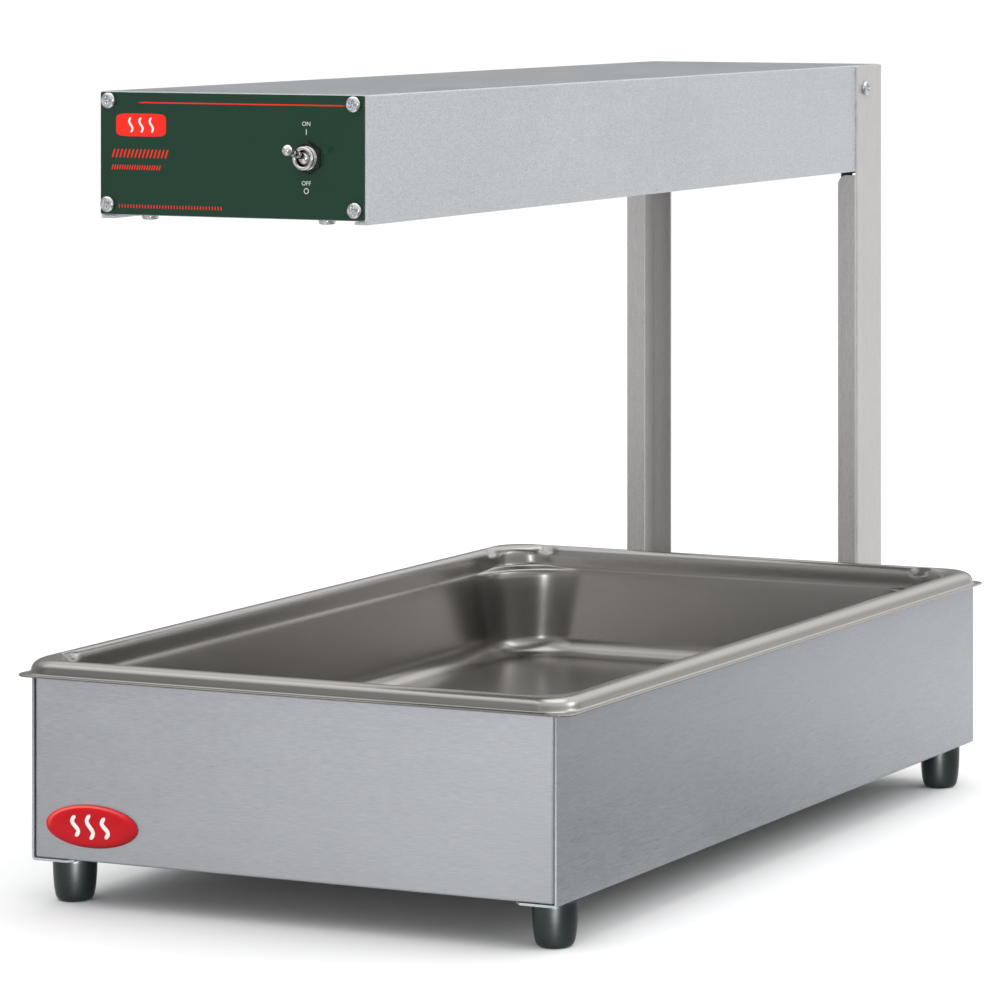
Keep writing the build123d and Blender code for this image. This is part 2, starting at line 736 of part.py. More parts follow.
def switch_lever():
    """Bat lever: tail, pivot ball, tapered neck and ball tip, built upright and tilted."""
    tail, neck, shoulder = 6.6, 13.2, 2.4       # lengths
    neck_r = 2.15           # at its wide end
    tilt = radians(SWITCH_TILT)
    lever_plane = Plane(origin=(SWITCH_X, PIVOT_Y, SWITCH_Z), x_dir=(1, 0, 0),
                        z_dir=(0, -cos(tilt), sin(tilt)))
    with BuildPart() as upright:
        Sphere(3.75)
        with Locations((0, 0, -tail / 2)):
            Cylinder(1.1, tail)
        with Locations((0, 0, neck / 2)):
            Cone(1.405, neck_r, neck)
        with Locations((0, 0, neck + shoulder / 2)):
            Cone(neck_r, 1.65, shoulder)
        with Locations((0, 0, LEVER_BALL_Z)):
            Sphere(LEVER_BALL_R)
        # pivot pin hole
        with BuildSketch(plane_x(-10)):
            Circle(0.66)
        extrude(amount=20, mode=Mode.SUBTRACT)
    return merged([lever_plane.location * upright.part])


def switch_terminals():
    with BuildPart() as blades:
        with BuildSketch(plane_y(SWITCH_FRONT_Y + SWITCH_BODY_D)):
            with Locations((SWITCH_X, SWITCH_Z - SWITCH_TERMINAL_Z),
                           (SWITCH_X, SWITCH_Z + SWITCH_TERMINAL_Z)):
                Rectangle(6.3, 0.8)
        extrude(amount=-8.0)
    return blades.part


# ================================================================= wiring
BLOCK_TOP = 377.0
BLOCK_X = -29.0
WIRE_BEND = 1.6
WIRE_END = BLOCK_TOP + 0.05         # wires stop just above the terminal block
STUD_TOP = ELEMENT_Z + STUD_R + 0.05
LOWER_BLADE = SWITCH_Z - SWITCH_TERMINAL_Z
UPPER_BLADE = SWITCH_Z + SWITCH_TERMINAL_Z

# Corner points of each wire: x, y, z
LEAD_RUNS = [
    # terminal block to the switch's lower terminal
    [(-21.0, 287.0, WIRE_END), (-21.0, 287.0, 411.0), (56.0, 287.0, 411.0),
     (56.0, -281.6, 411.0), (56.0, -281.6, LOWER_BLADE), (SWITCH_X, -281.6, LOWER_BLADE),
     (SWITCH_X, -285.0, LOWER_BLADE)],
    # switch's upper terminal to the element's front stud
    [(SWITCH_X, -285.0, UPPER_BLADE), (SWITCH_X, -281.4, UPPER_BLADE),
     (0.0, -289.5, UPPER_BLADE), (0.0, -289.5, STUD_TOP)],
    # element's rear stud to the terminal block
    [(0.0, 275.5, STUD_TOP), (0.0, 275.5, 386.0), (BLOCK_X, 275.5, 386.0),
     (BLOCK_X, 275.5, WIRE_END)],
]

# Conductors from the cord's end to the terminal block: start x, y, crossing z, end x
CONDUCTORS = [
    (60.0, 281.5, 388.0, -15.0),
    (62.4, 280.3, 392.0, BLOCK_X),
    (62.4, 282.8, 396.0, -40.0),
]


def terminal_block():
    with BuildPart() as block:
        with BuildSketch(plane_z(FLANGE_TOP)):
            with Locations((BLOCK_X, 280.0)):
                RectangleRounded(34.0, 18.0, 1.5)
        extrude(amount=BLOCK_TOP - FLANGE_TOP)
        fillet(block.faces().sort_by(Axis.Z)[-1].edges(), radius=0.8)
    return block.part


def lead_wires():
    return merged([round_wire(run, 1.2, WIRE_BEND) for run in LEAD_RUNS])


def cord_conductors():
    return merged([
        round_wire([(start_x, y, CORD_TOP), (start_x, y, z), (end_x, y, z),
                    (end_x, y, WIRE_END)], 0.95, WIRE_BEND)
        for start_x, y, z, end_x in CONDUCTORS])


def strain_relief():
    """Bushing gripping the cord in the rear cap's bottom flange."""
    collar_r, collar_h = 6.2, 4.0
    # upper collar, neck through the flange, lower collar: z, radius, height
    stages = [
        (FLANGE_TOP, collar_r, collar_h),
        (CAP_FLOOR, 4.7, CAP_T),
        (CAP_FLOOR - collar_h, collar_r, collar_h),
    ]
    with BuildPart() as bushing:
        for z, radius, height in stages:
            with BuildSketch(plane_z(z)):
                with Locations((CORD_X, CORD_Y)):
                    Circle(radius)
            extrude(amount=height)
        fillet(bushing.faces().sort_by(Axis.Z)[0].edges(), radius=1.0)
        with BuildSketch(plane_z(CAP_FLOOR - 10)):
            with Locations((CORD_X, CORD_Y)):
                Circle(CORD_R + 0.05)
        extrude(amount=30, mode=Mode.SUBTRACT)
    return bushing.part


# The cord's folded hank behind the base
HANK_TOP, HANK_MID = 88.0, 66.0     # the lowest run is at the plug's height


def power_cord():
    """Down beside the right leg, then folded into a tied hank behind the base."""
    left_x, right_x = -52.0, 46.0
    # corner points: x, z
    corners = [(CORD_X, CORD_TOP), (CORD_X, HANK_TOP), (left_x, HANK_TOP),
               (left_x, HANK_MID), (right_x, HANK_MID), (right_x, PLUG_Z), (PLUG_X, PLUG_Z)]
    return round_wire([(x, CORD_Y, z) for x, z in corners], CORD_R, bend=10.9)


PLUG_LENGTH = 32.0


def plug_body():
    # distance left of the cord's entry, radius
    stations = [(0.0, 6.0), (12.0, 9.0), (20.0, 12.6), (PLUG_LENGTH, 12.8)]
    with BuildPart() as plug:
        for distance, radius in stations:
            with BuildSketch(plane_x(PLUG_X - distance)):
                with Locations((CORD_Y, PLUG_Z)):
                    Circle(radius)
        loft()
        fillet(plug.faces().sort_by(Axis.X)[0].edges(), radius=1.2)
    return plug.part


def plug_prongs():
    """Two flat blades and a round pin below them."""
    blade_y = 6.35          # blades either side of the plug's axis
    with BuildPart() as prongs:
        with BuildSketch(plane_x(PLUG_X - PLUG_LENGTH)):
            with Locations((CORD_Y - blade_y, PLUG_Z + 2.5), (CORD_Y + blade_y, PLUG_Z + 2.5)):
                Rectangle(1.5, 6.3)
            with Locations((CORD_Y, PLUG_Z - 6.0)):
                Circle(2.4)
        extrude(amount=-16.5)
        fillet(prongs.faces().sort_by(Axis.X)[0].edges(), radius=0.5)
    return prongs.part


def cord_tie():
    """Flat loop round the hank, with a block on its rear side."""
    with BuildPart() as tie:
        with BuildSketch(plane_x(20.0)):
            with Locations((CORD_Y, HANK_MID)):
                RectangleRounded(9.8, 54.0, 4.8)
                RectangleRounded(7.2, 51.4, 3.55, mode=Mode.SUBTRACT)
        extrude(amount=4.6)
        with BuildSketch(plane_x(19.3)):
            with Locations((CORD_Y + 7.0, HANK_MID)):
                Rectangle(4.4, 6.0)
        extrude(amount=6.0)
    return tie.part


# ================================================================= files
# Each function's name is its piece's name and its file's name.
PIECES = (
    front_panel, back_panel, right_side_panel, left_side_panel,
    feet, foot_washers, foot_screws, foot_nuts, badge, food_pan,
    right_leg, left_leg, leg_bolts, leg_nuts,
    housing_shell, front_end_cap, control_panel, panel_screws, cap_screws,
    rear_end_cap, rear_cap_screws, leg_web_screws, leg_web_nuts,
    reflector, reflector_ends, element_insulators,
    heating_element, element_terminals, element_hangers,
    switch_body, switch_washer, switch_bushing, switch_nut,
    switch_pin, switch_lever, switch_terminals,
    terminal_block, lead_wires, cord_conductors, strain_relief,
    power_cord, plug_body, plug_prongs, cord_tie,
)

# The overall length runs from the lever's tip to the heads of the rear screws.
lever_tip_y = PIVOT_Y - LEVER_BALL_Z * cos(radians(SWITCH_TILT)) - LEVER_BALL_R
rear_y = LEG_Y1 + PORT_SCREW["head_height"]
to_origin = Location((0, -(lever_tip_y + rear_y) / 2, 0))

os.makedirs("parts", exist_ok=True)
for build in PIECES:
    piece = build()
    piece.label = build.__name__
    piece.move(to_origin)
    export_step(piece, f"parts/{build.__name__}.step")
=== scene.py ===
import bpy, bmesh, math, json
import numpy as np
from mathutils import Vector, Matrix


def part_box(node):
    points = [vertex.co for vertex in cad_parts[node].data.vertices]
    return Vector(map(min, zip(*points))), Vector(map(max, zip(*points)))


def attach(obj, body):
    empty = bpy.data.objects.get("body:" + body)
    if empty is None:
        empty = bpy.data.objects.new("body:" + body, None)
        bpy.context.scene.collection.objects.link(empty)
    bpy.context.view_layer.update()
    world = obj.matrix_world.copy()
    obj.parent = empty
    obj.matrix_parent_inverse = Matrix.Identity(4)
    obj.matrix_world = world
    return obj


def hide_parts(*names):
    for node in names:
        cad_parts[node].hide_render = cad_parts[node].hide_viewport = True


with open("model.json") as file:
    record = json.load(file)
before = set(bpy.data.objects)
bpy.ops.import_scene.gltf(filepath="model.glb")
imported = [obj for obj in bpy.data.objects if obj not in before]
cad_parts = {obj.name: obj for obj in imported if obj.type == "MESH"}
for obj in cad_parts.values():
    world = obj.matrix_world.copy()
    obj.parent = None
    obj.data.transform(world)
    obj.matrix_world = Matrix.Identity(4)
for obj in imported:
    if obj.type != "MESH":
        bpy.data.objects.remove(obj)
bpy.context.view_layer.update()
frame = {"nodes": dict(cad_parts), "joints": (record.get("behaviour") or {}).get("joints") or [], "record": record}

nodes = frame["nodes"]
SLOT = {s["node"]: s["material_slot"] for s in frame["record"]["subparts"]}
MM = 0.001


def box(n):
    lo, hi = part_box(n)
    return np.array(lo) / MM, np.array(hi) / MM


# ------------------------------------------------------------------ node helpers
class NT:
    """Small helper that builds a material's node tree."""

    def __init__(self, name):
        self.m = bpy.data.materials.new(name)
        self.m.use_nodes = True
        self.t = self.m.node_tree
        self.t.nodes.clear()
        self.out = self.t.nodes.new("ShaderNodeOutputMaterial")
        self.p = self.t.nodes.new("ShaderNodeBsdfPrincipled")
        self.t.links.new(self.p.outputs[0], self.out.inputs[0])
        self.tc = self.t.nodes.new("ShaderNodeTexCoord")

    def link(self, a, b):
        self.t.links.new(a, b)

    def set(self, node, key, v):
        if hasattr(v, "is_linked") or isinstance(v, bpy.types.NodeSocket):
            self.link(v, node.inputs[key])
        else:
            node.inputs[key].default_value = v

    def noise(self, scale=(1, 1, 1), detail=4.0, rough=0.55, offset=(0, 0, 0), dist=0.0):
        mp = self.t.nodes.new("ShaderNodeMapping")
        mp.inputs["Scale"].default_value = scale
        mp.inputs["Location"].default_value = offset
        self.link(self.tc.outputs["Object"], mp.inputs["Vector"])
        n = self.t.nodes.new("ShaderNodeTexNoise")
        n.inputs["Scale"].default_value = 1.0
        n.inputs["Detail"].default_value = detail
        n.inputs["Roughness"].default_value = rough
        n.inputs["Distortion"].default_value = dist
        self.link(mp.outputs[0], n.inputs["Vector"])
        return n.outputs["Fac"]

    def rng(self, v, a, b, c, d, clamp=True):
        r = self.t.nodes.new("ShaderNodeMapRange")
        r.clamp = clamp
        for k, x in zip(("From Min", "From Max", "To Min", "To Max"), (a, b, c, d)):
            r.inputs[k].default_value = x
        self.link(v, r.inputs["Value"])
        return r.outputs["Result"]

    def math(self, op, a, b=0.0, clamp=False):
        n = self.t.nodes.new("ShaderNodeMath")
        n.operation = op
        n.use_clamp = clamp
        self.set(n, 0, a)
        self.set(n, 1, b)
        return n.outputs[0]

    def mix(self, fac, a, b, mode="MIX"):
        n = self.t.nodes.new("ShaderNodeMix")
        n.data_type = "RGBA"
        n.blend_type = mode
        self.set(n, 0, fac)
        self.set(n, 6, a)
        self.set(n, 7, b)
        return n.outputs[2]

    def scale_rgb(self, rgb, fac):
        """rgb colour times a scalar socket."""
        n = self.t.nodes.new("ShaderNodeVectorMath")
        n.operation = "SCALE"
        if isinstance(rgb, tuple):
            n.inputs[0].default_value = rgb[:3]
        else:
            self.link(rgb, n.inputs[0])
        self.set(n, "Scale", fac)
        return n.outputs[0]

    def bump(self, h, strength=0.3, dist=0.0001, normal=None):
        b = self.t.nodes.new("ShaderNodeBump")
        b.inputs["Strength"].default_value = strength
        b.inputs["Distance"].default_value = dist
        self.link(h, b.inputs["Height"])
        if normal is not None:
            self.link(normal, b.inputs["Normal"])
        return b.outputs[0]

    def bevel(self, r=0.0003, samples=4):
        b = self.t.nodes.new("ShaderNodeBevel")
        b.samples = samples
        b.inputs["Radius"].default_value = r
        return b.outputs[0]

    def edge(self, r=0.0006, samples=4):
        """0 on flats, towards 1 on edges."""
        g = self.t.nodes.new("ShaderNodeNewGeometry")
        d = self.t.nodes.new("ShaderNodeVectorMath")
        d.operation = "DOT_PRODUCT"
        self.link(self.bevel(r, samples), d.inputs[0])
        self.link(g.outputs["Normal"], d.inputs[1])
        return self.rng(d.outputs["Value"], 0.80, 0.995, 1.0, 0.0)


def metal(name, col, rough=0.34, grain=None, speck=0.0, aniso=0.0, coarse=0.05, fine=0.05, bumpd=0.000012,
          smudge=0.03, wear=0.12, edge_r=0.0004, speck_scale=2600.0, metallic=1.0, top=None, smooth_bump=False,
          painted_height_shade=None, blot=1.0, front=None):
    """Brushed, satin or plated metal. grain is 0, 1 or 2 for the brushing direction, None for none."""
    k = NT(name)
    k.p.inputs["Metallic"].default_value = metallic
    val, hgt = None, None
    parts = []
    if grain is not None:
        def sc(l, w):
            s = [w, w, w]
            s[grain] = l
            return tuple(s)
        streak = k.noise(sc(14, 1500), 3.0, 0.6)
        hair = k.noise(sc(150, 2300), 2.0, 0.6, offset=(3.1, 1.7, 9.2))
        band = k.noise(sc(2.5, 160), 2.0, 0.5, offset=(7.7, 2.1, 4.2))
        parts = [(streak, coarse), (hair, fine), (band, coarse * 0.55)]
        hgt = k.math("ADD", streak, k.math("MULTIPLY", hair, 0.7))
    if speck:
        sp = k.noise((speck_scale,) * 3, 2.0, 0.7, offset=(1.3, 5.2, 2.4))
        parts.append((sp, speck))
        hgt = sp if hgt is None else k.math("ADD", hgt, sp)
    cloud = k.noise((9, 9, 9), 3.0, 0.6, offset=(4.4, 1.2, 3.3))
    cloud2 = k.noise((55, 55, 55), 4.0, 0.65, offset=(2.1, 8.1, 0.3))
    parts += [(cloud, smudge), (cloud2, smudge * 0.6)]
    total = None
    for s, a in parts:
        v = k.rng(s, 0.25, 0.75, -a, a)
        total = v if total is None else k.math("ADD", total, v)
    e = k.edge(edge_r * 1.6) if wear else None
    bright = k.math("ADD", total, 1.0)
    if e is not None:
        bright = k.math("ADD", bright, k.math("MULTIPLY", e, wear))
    if top:
        # painted shade: upward faces get a darker base colour and a darker specular tint, as the top catches less light
        # at a shallow angle
        g = k.t.nodes.new("ShaderNodeNewGeometry")
        sx = k.t.nodes.new("ShaderNodeSeparateXYZ")
        k.link(g.outputs["Normal"], sx.inputs[0])
        up = k.rng(sx.outputs[2], 0.5, 0.95, 0.0, 1.0)
        bright = k.math("MULTIPLY", bright, k.rng(up, 0.0, 1.0, 1.0, top[0]))
        k.link(k.mix(up, (1, 1, 1, 1), (top[1], top[1], top[1], 1)), k.p.inputs["Specular Tint"])
    pos = k.t.nodes.new("ShaderNodeSeparateXYZ")
    k.link(k.tc.outputs["Object"], pos.inputs[0])
    if painted_height_shade:
        # painted light and shade: base colour graded lighter or darker from the lower edge to the upper edge
        bright = k.math("MULTIPLY", bright, k.rng(pos.outputs[2], *painted_height_shade))
    if front:
        # painted shade: the rim's front-facing outer wall is darkened, more towards the lip
        g = k.t.nodes.new("ShaderNodeNewGeometry")
        sy = k.t.nodes.new("ShaderNodeSeparateXYZ")
        k.link(g.outputs["Normal"], sy.inputs[0])
        painted_front_shade = k.math("MULTIPLY", k.rng(sy.outputs[1], -1.0, -0.15, 1.0, 0.0), k.rng(pos.outputs[2], front[0], front[1], front[2], front[3]))
        bright = k.math("MULTIPLY", bright, k.math("SUBTRACT", 1.0, painted_front_shade))
    k.link(k.scale_rgb(tuple(col), bright), k.p.inputs["Base Color"])
    r = k.math("ADD", rough, k.math("MULTIPLY", total, 0.55))
    r = k.math("ADD", r, k.rng(cloud2, 0.3, 0.75, -0.02 * blot, 0.035 * blot))
    if e is not None:
        r = k.math("SUBTRACT", r, k.math("MULTIPLY", e, 0.08))
    k.link(r, k.p.inputs["Roughness"])
    nb = k.bevel(edge_r, 4)
    if smooth_bump:
        soft = k.noise((130, 130, 130), 1.0, 0.4, offset=(5.5, 0.4, 7.1))
        k.link(k.bump(soft, 0.05, 0.00003, nb), k.p.inputs["Normal"])
    elif hgt is not None:
        k.link(k.bump(hgt, 0.35, bumpd, nb), k.p.inputs["Normal"])
    else:
        k.link(k.bump(cloud2, 0.15, 0.00002, nb), k.p.inputs["Normal"])
    if aniso and grain is not None:
        k.p.inputs["Anisotropic"].default_value = aniso
        c = k.t.nodes.new("ShaderNodeCombineXYZ")
        c.inputs[grain].default_value = 1.0
        k.link(c.outputs[0], k.p.inputs["Tangent"])
    return k.m


def plain(name, col, rough, metallic=0.0, coat=0.0, coat_rough=0.1, orange=0.0, orange_scale=900.0, spec=0.5,
          vary=0.06, wear=0.0, edge_r=0.0003, dust=0.0, stipple=0.0, stipple_scale=2500.0):
    """Paint, plastic, rubber or ceramic with fine surface relief, colour variation and worn edges."""
    k = NT(name)
    k.p.inputs["Metallic"].default_value = metallic
    k.p.inputs["Specular IOR Level"].default_value = spec
    k.p.inputs["Coat Weight"].default_value = coat
    k.p.inputs["Coat Roughness"].default_value = coat_rough
    a = k.noise((35, 35, 35), 4.0, 0.6, offset=(1.1, 2.2, 3.3))
    b = k.noise((420, 420, 420), 3.0, 0.6, offset=(6.1, 0.2, 1.3))
    bright = k.math("ADD", 1.0, k.math("ADD", k.rng(a, 0.25, 0.75, -vary, vary), k.rng(b, 0.25, 0.75, -vary * 0.6, vary * 0.6)))
    c = k.scale_rgb(tuple(col), bright)
    if wear:
        e = k.edge(edge_r * 1.8)
        e = k.math("MULTIPLY", e, k.rng(b, 0.35, 0.65, 0.2, 1.0))
        c = k.mix(k.math("MULTIPLY", e, wear), c, (min(1, col[0] * 2 + 0.08), min(1, col[1] * 2 + 0.08), min(1, col[2] * 2 + 0.08), 1))
    if dust:
        g = k.t.nodes.new("ShaderNodeNewGeometry")
        s = k.t.nodes.new("ShaderNodeSeparateXYZ")
        k.link(g.outputs["Normal"], s.inputs[0])
        up = k.rng(s.outputs[2], 0.3, 1.0, 0.0, dust)
        c = k.mix(k.math("MULTIPLY", up, a), c, (0.5, 0.48, 0.45, 1))
    k.link(c, k.p.inputs["Base Color"])
    k.link(k.math("ADD", k.rng(a, 0.25, 0.75, rough - 0.04, rough + 0.05), k.rng(b, 0.25, 0.75, -0.02, 0.03)), k.p.inputs["Roughness"])
    n = k.bevel(edge_r, 4)
    if orange:
        o = k.noise((orange_scale,) * 3, 1.0, 0.5)
        n = k.bump(o, orange, 0.00002, n)
    if stipple:
        s2 = k.noise((stipple_scale,) * 3, 2.0, 0.6, offset=(9, 4, 2))
        n = k.bump(s2, stipple, 0.00005, n)
    k.link(n, k.p.inputs["Normal"])
    return k.m


BASE_Z = (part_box("front_panel")[0][2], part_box("front_panel")[1][2])
PAN_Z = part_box("food_pan")[1][2]
M = {}
# painted light and shade on the base panels, graded from the bottom edge to the top edge
M["base_x"] = metal("base_brushed_across", (0.525, 0.542, 0.577), 0.40, 0, aniso=0.45, coarse=0.040, fine=0.13, speck=0.05, speck_scale=1900, painted_height_shade=(*BASE_Z, 0.82, 1.03))
M["base_y"] = metal("base_brushed_along", (0.475, 0.497, 0.530), 0.42, 1, aniso=0.35, coarse=0.020, fine=0.14, speck=0.24, speck_scale=1800, painted_height_shade=(*BASE_Z, 1.22, 0.90))
M["leg_z"] = metal("leg_satin", (0.515, 0.500, 0.498), 0.38, 2, aniso=0.2, coarse=0.030, fine=0.10, speck=0.16, speck_scale=1800, metallic=0.58)
# painted shade on the pan rim's front-facing outer wall, darker towards the lip
M["pan"] = metal("pan_drawn_satin", (0.395, 0.382, 0.364), 0.23, None, speck=0.025, smudge=0.010, wear=0.0, edge_r=0.0002, speck_scale=1500, smooth_bump=True,
                 blot=0.25, front=(PAN_Z - 0.0085, PAN_Z - 0.001, 0.56, 0.31))
# housing: painted shade on its top faces
M["housing"] = metal("housing_anodised", (0.610, 0.636, 0.662), 0.46, 1, aniso=0.2, coarse=0.012, fine=0.05, speck=0.32, wear=0.22, edge_r=0.0003, speck_scale=1650, top=(0.74, 0.42))
M["bright_al"] = metal("reflector_bright", (0.86, 0.86, 0.87), 0.14, 1, coarse=0.02, fine=0.02, smudge=0.04, wear=0.05)
M["cap"] = metal("end_cap_satin", (0.66, 0.67, 0.68), 0.36, 0, coarse=0.03, fine=0.03, speck=0.03)
M["nickel"] = metal("nickel_plate", (0.58, 0.575, 0.56), 0.13, None, speck=0.03, smudge=0.05, wear=0.1, edge_r=0.00012, speck_scale=5000)
M["zinc"] = metal("zinc_plate", (0.58, 0.59, 0.61), 0.20, None, speck=0.08, smudge=0.06, wear=0.15, edge_r=0.00015, speck_scale=4000)
M["brass"] = metal("brass_contacts", (0.72, 0.55, 0.27), 0.26, None, speck=0.05, smudge=0.08, wear=0.1, edge_r=0.0001)
M["sheath"] = metal("element_sheath", (0.30, 0.27, 0.25), 0.38, 1, coarse=0.06, fine=0.05, speck=0.08, smudge=0.10, wear=0.05)
M["black_nut"] = plain("black_oxide_nut", (0.010, 0.011, 0.012), 0.22, metallic=0.4, spec=0.5, wear=0.15, edge_r=0.00012)
M["rubber"] = plain("foot_rubber", (0.0014, 0.0036, 0.0032), 0.30, spec=0.48, vary=0.15, stipple=0.05, stipple_scale=900, wear=0.0, edge_r=0.0004)
M["enamel"] = plain("panel_enamel", (0.0040, 0.0315, 0.0165), 0.13, spec=0.32, orange=0.05, orange_scale=700, vary=0.05, wear=0.35, edge_r=0.00025, stipple=0.02)
M["badge_red"] = plain("badge_red", (0.50, 0.003, 0.009), 0.16, spec=0.22, coat=0.06, coat_rough=0.05, orange=0.03, vary=0.03)
M["print_red"] = plain("print_red", (0.80, 0.022, 0.012), 0.40, spec=0.15, vary=0.05, stipple=0.05, edge_r=0.00002)
M["print_white"] = plain("print_white", (0.80, 0.80, 0.78), 0.40, spec=0.3, vary=0.03, stipple=0.05, edge_r=0.00002)
M["print_grey"] = plain("print_grey", (0.60, 0.63, 0.60), 0.42, spec=0.3, vary=0.03, stipple=0.05, edge_r=0.00002)
M["ceramic"] = plain("ceramic_glazed", (0.80, 0.77, 0.70), 0.45, vary=0.05, stipple=0.12, wear=0.0)
M["phenolic"] = plain("phenolic", (0.022, 0.021, 0.020), 0.36, vary=0.12, stipple=0.10, wear=0.2)
M["plastic"] = plain("moulded_black", (0.020, 0.020, 0.021), 0.42, vary=0.10, stipple=0.18, wear=0.15)
M["wire"] = plain("wire_jacket", (0.05, 0.05, 0.052), 0.40, vary=0.08, stipple=0.05)
M["cord"] = plain("cord_jacket", (0.022, 0.022, 0.024), 0.45, vary=0.12, stipple=0.15, stipple_scale=1800, dust=0.10)

NODE_MAT = {
    "front_panel": "base_x", "back_panel": "base_x", "left_side_panel": "base_y", "right_side_panel": "base_y",
    "left_leg": "leg_z", "right_leg": "leg_z", "food_pan": "pan", "housing_shell": "housing",
    "front_end_cap": "cap", "rear_end_cap": "cap", "control_panel": "enamel", "badge": "badge_red", "feet": "rubber",
    "reflector": "bright_al", "reflector_ends": "bright_al", "heating_element": "sheath", "element_hangers": "zinc",
    "element_insulators": "ceramic", "terminal_block": "ceramic", "switch_bushing": "nickel", "switch_nut": "black_nut",
    "switch_lever": "nickel", "switch_body": "phenolic", "switch_terminals": "brass", "element_terminals": "brass",
    "lead_wires": "wire", "cord_conductors": "wire", "strain_relief": "plastic", "cord_tie": "plastic",
    "power_cord": "cord", "plug_body": "cord", "plug_prongs": "brass",
}
for n, o in nodes.items():
    o.data.materials.clear()
    o.data.materials.append(M[NODE_MAT.get(n, "zinc")])


# ------------------------------------------------------------------ mesh helpers
def make(name, verts, faces, mat, body="root", slot=None, stands=(), angle=38, recalc=True, bevel=0):
    """One piece from millimetre vertices and faces, riding on a body."""
    me = bpy.data.meshes.new(name)
    me.from_pydata([tuple(float(c) * MM for c in v) for v in verts], [], [tuple(int(i) for i in f) for f in faces])
    me.validate()
    if recalc:
        bm = bmesh.new()
        bm.from_mesh(me)
        bmesh.ops.remove_doubles(bm, verts=bm.verts, dist=1e-7)
        bmesh.ops.recalc_face_normals(bm, faces=bm.faces)
        bm.to_mesh(me)
        bm.free()
    me.polygons.foreach_set("use_smooth", [True] * len(me.polygons))
    if angle is not None:
        me.set_sharp_from_angle(angle=math.radians(angle))
    o = bpy.data.objects.new(name, me)
    bpy.context.scene.collection.objects.link(o)
    me.materials.append(M[mat])
    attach(o, body)
    if stands:
        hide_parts(*stands)
    return o


def frame_to(origin, z_dir, x_dir=None):
    """Matrix (3x3, columns x y z) and origin for a local frame."""
    z = np.array(z_dir, float)
    z /= np.linalg.norm(z)
    x = np.array(x_dir if x_dir is not None else ((1, 0, 0) if abs(z[0]) < 0.9 else (0, 1, 0)), float)
    x -= z * (x @ z)
    x /= np.linalg.norm(x)
    y = np.cross(z, x)
    return np.column_stack([x, y, z]), np.array(origin, float)


def place(verts, fr):
    R, o = fr
    return np.asarray(verts, float) @ R.T + o


def lathe(profile, n=48, radius_fn=None):
    """Closed or open profile [(r, z)] turned round z. Points with r = 0 become poles."""
    verts, faces, rings = [], [], []
    for r, z in profile:
        if r < 1e-9:
            rings.append([len(verts)])
            verts.append((0, 0, z))
        else:
            ring = []
            for i in range(n):
                a = 2 * math.pi * i / n
                rr = r if radius_fn is None else radius_fn(r, z, a)
                ring.append(len(verts))
                verts.append((rr * math.cos(a), rr * math.sin(a), z))
            rings.append(ring)
    for A, B in zip(rings[:-1], rings[1:]):
        if len(A) == 1 and len(B) == 1:
            continue
        for i in range(n):
            j = (i + 1) % n
            if len(A) == 1:
                faces.append((A[0], B[i], B[j]))
            elif len(B) == 1:
                faces.append((A[i], A[j], B[0]))
            else:
                faces.append((A[i], A[j], B[j], B[i]))
    return verts, faces


def merge(parts):
    V, F, k = [], [], 0
    for v, f in parts:
        V.extend([tuple(x) for x in v])
        F.extend([tuple(i + k for i in q) for q in f])
        k += len(v)
    return V, F


def screw_head(r, h, drive=0.55, turn=0.0, shank=0.0, shank_r=1.4, n=72, fillet=0.0):
    """Pan head with a tapered cross recess, seated at z = 0 with the head towards +z."""
    verts, faces, rings = [], [], []
    rr = list(np.linspace(0, 0.62, 17)) + [0.70, 0.78, 0.85, 0.90, 0.94, 0.97, 0.99, 1.0]
    ct, st = math.cos(turn), math.sin(turn)
    wing, half = r * drive, r * 0.125

    def top(x, y):
        q = math.hypot(x, y) / r
        z = h * (1.0 - 0.10 * q ** 2) if q < 0.62 else h * (0.9615 - 0.36 * ((q - 0.62) / 0.38) ** 2.4)
        u, v = x * ct + y * st, -x * st + y * ct

        def arm(a, b):
            w = half * (1.15 - 0.35 * min(1, abs(a) / wing))
            s = 1 / (1 + math.exp((abs(b) - w) / (r * 0.022)))
            e = 1 / (1 + math.exp((abs(a) - wing) / (r * 0.030)))
            return s * e
        m = max(arm(u, v), arm(v, u))
        core = 1 / (1 + math.exp((math.hypot(u, v) - r * 0.20) / (r * 0.025)))
        return z - m * h * 0.42 - core * h * 0.16

    rings.append([0])
    verts.append((0, 0, top(0, 0)))
    for q in rr[1:]:
        ring = []
        for i in range(n):
            a = 2 * math.pi * i / n
            x, y = r * q * math.cos(a), r * q * math.sin(a)
            ring.append(len(verts))
            verts.append((x, y, top(x, y)))
        rings.append(ring)
    for rad, z in ((r * 1.0, h * 0.36), (r * 0.985, h * 0.10), (r * 0.955, 0.0)) + (((shank_r, 0.0), (shank_r, -shank)) if shank else ()):
        ring = []
        for i in range(n):
            a = 2 * math.pi * i / n
            ring.append(len(verts))
            verts.append((rad * math.cos(a), rad * math.sin(a), z))
        rings.append(ring)
    rings.append([len(verts)])
    verts.append((0, 0, -shank))
    for A, B in zip(rings[:-1], rings[1:]):
        for i in range(n):
            j = (i + 1) % n
            if len(A) == 1:
                faces.append((A[0], B[i], B[j]))
            elif len(B) == 1:
                faces.append((A[i], A[j], B[0]))
            else:
                faces.append((A[i], A[j], B[j], B[i]))
    return verts, faces


# ------------------------------------------------------------------ food pan
plo, phi = box("food_pan")
pcx, pcy = (plo[0] + phi[0]) / 2, (plo[1] + phi[1]) / 2
PHX, PHY = (phi[0] - plo[0]) / 2, (phi[1] - plo[1]) / 2
Z0 = phi[2] - 8.3                 # underside of the rim's lip
ZB = plo[2] - Z0                  # underside of the floor, from there


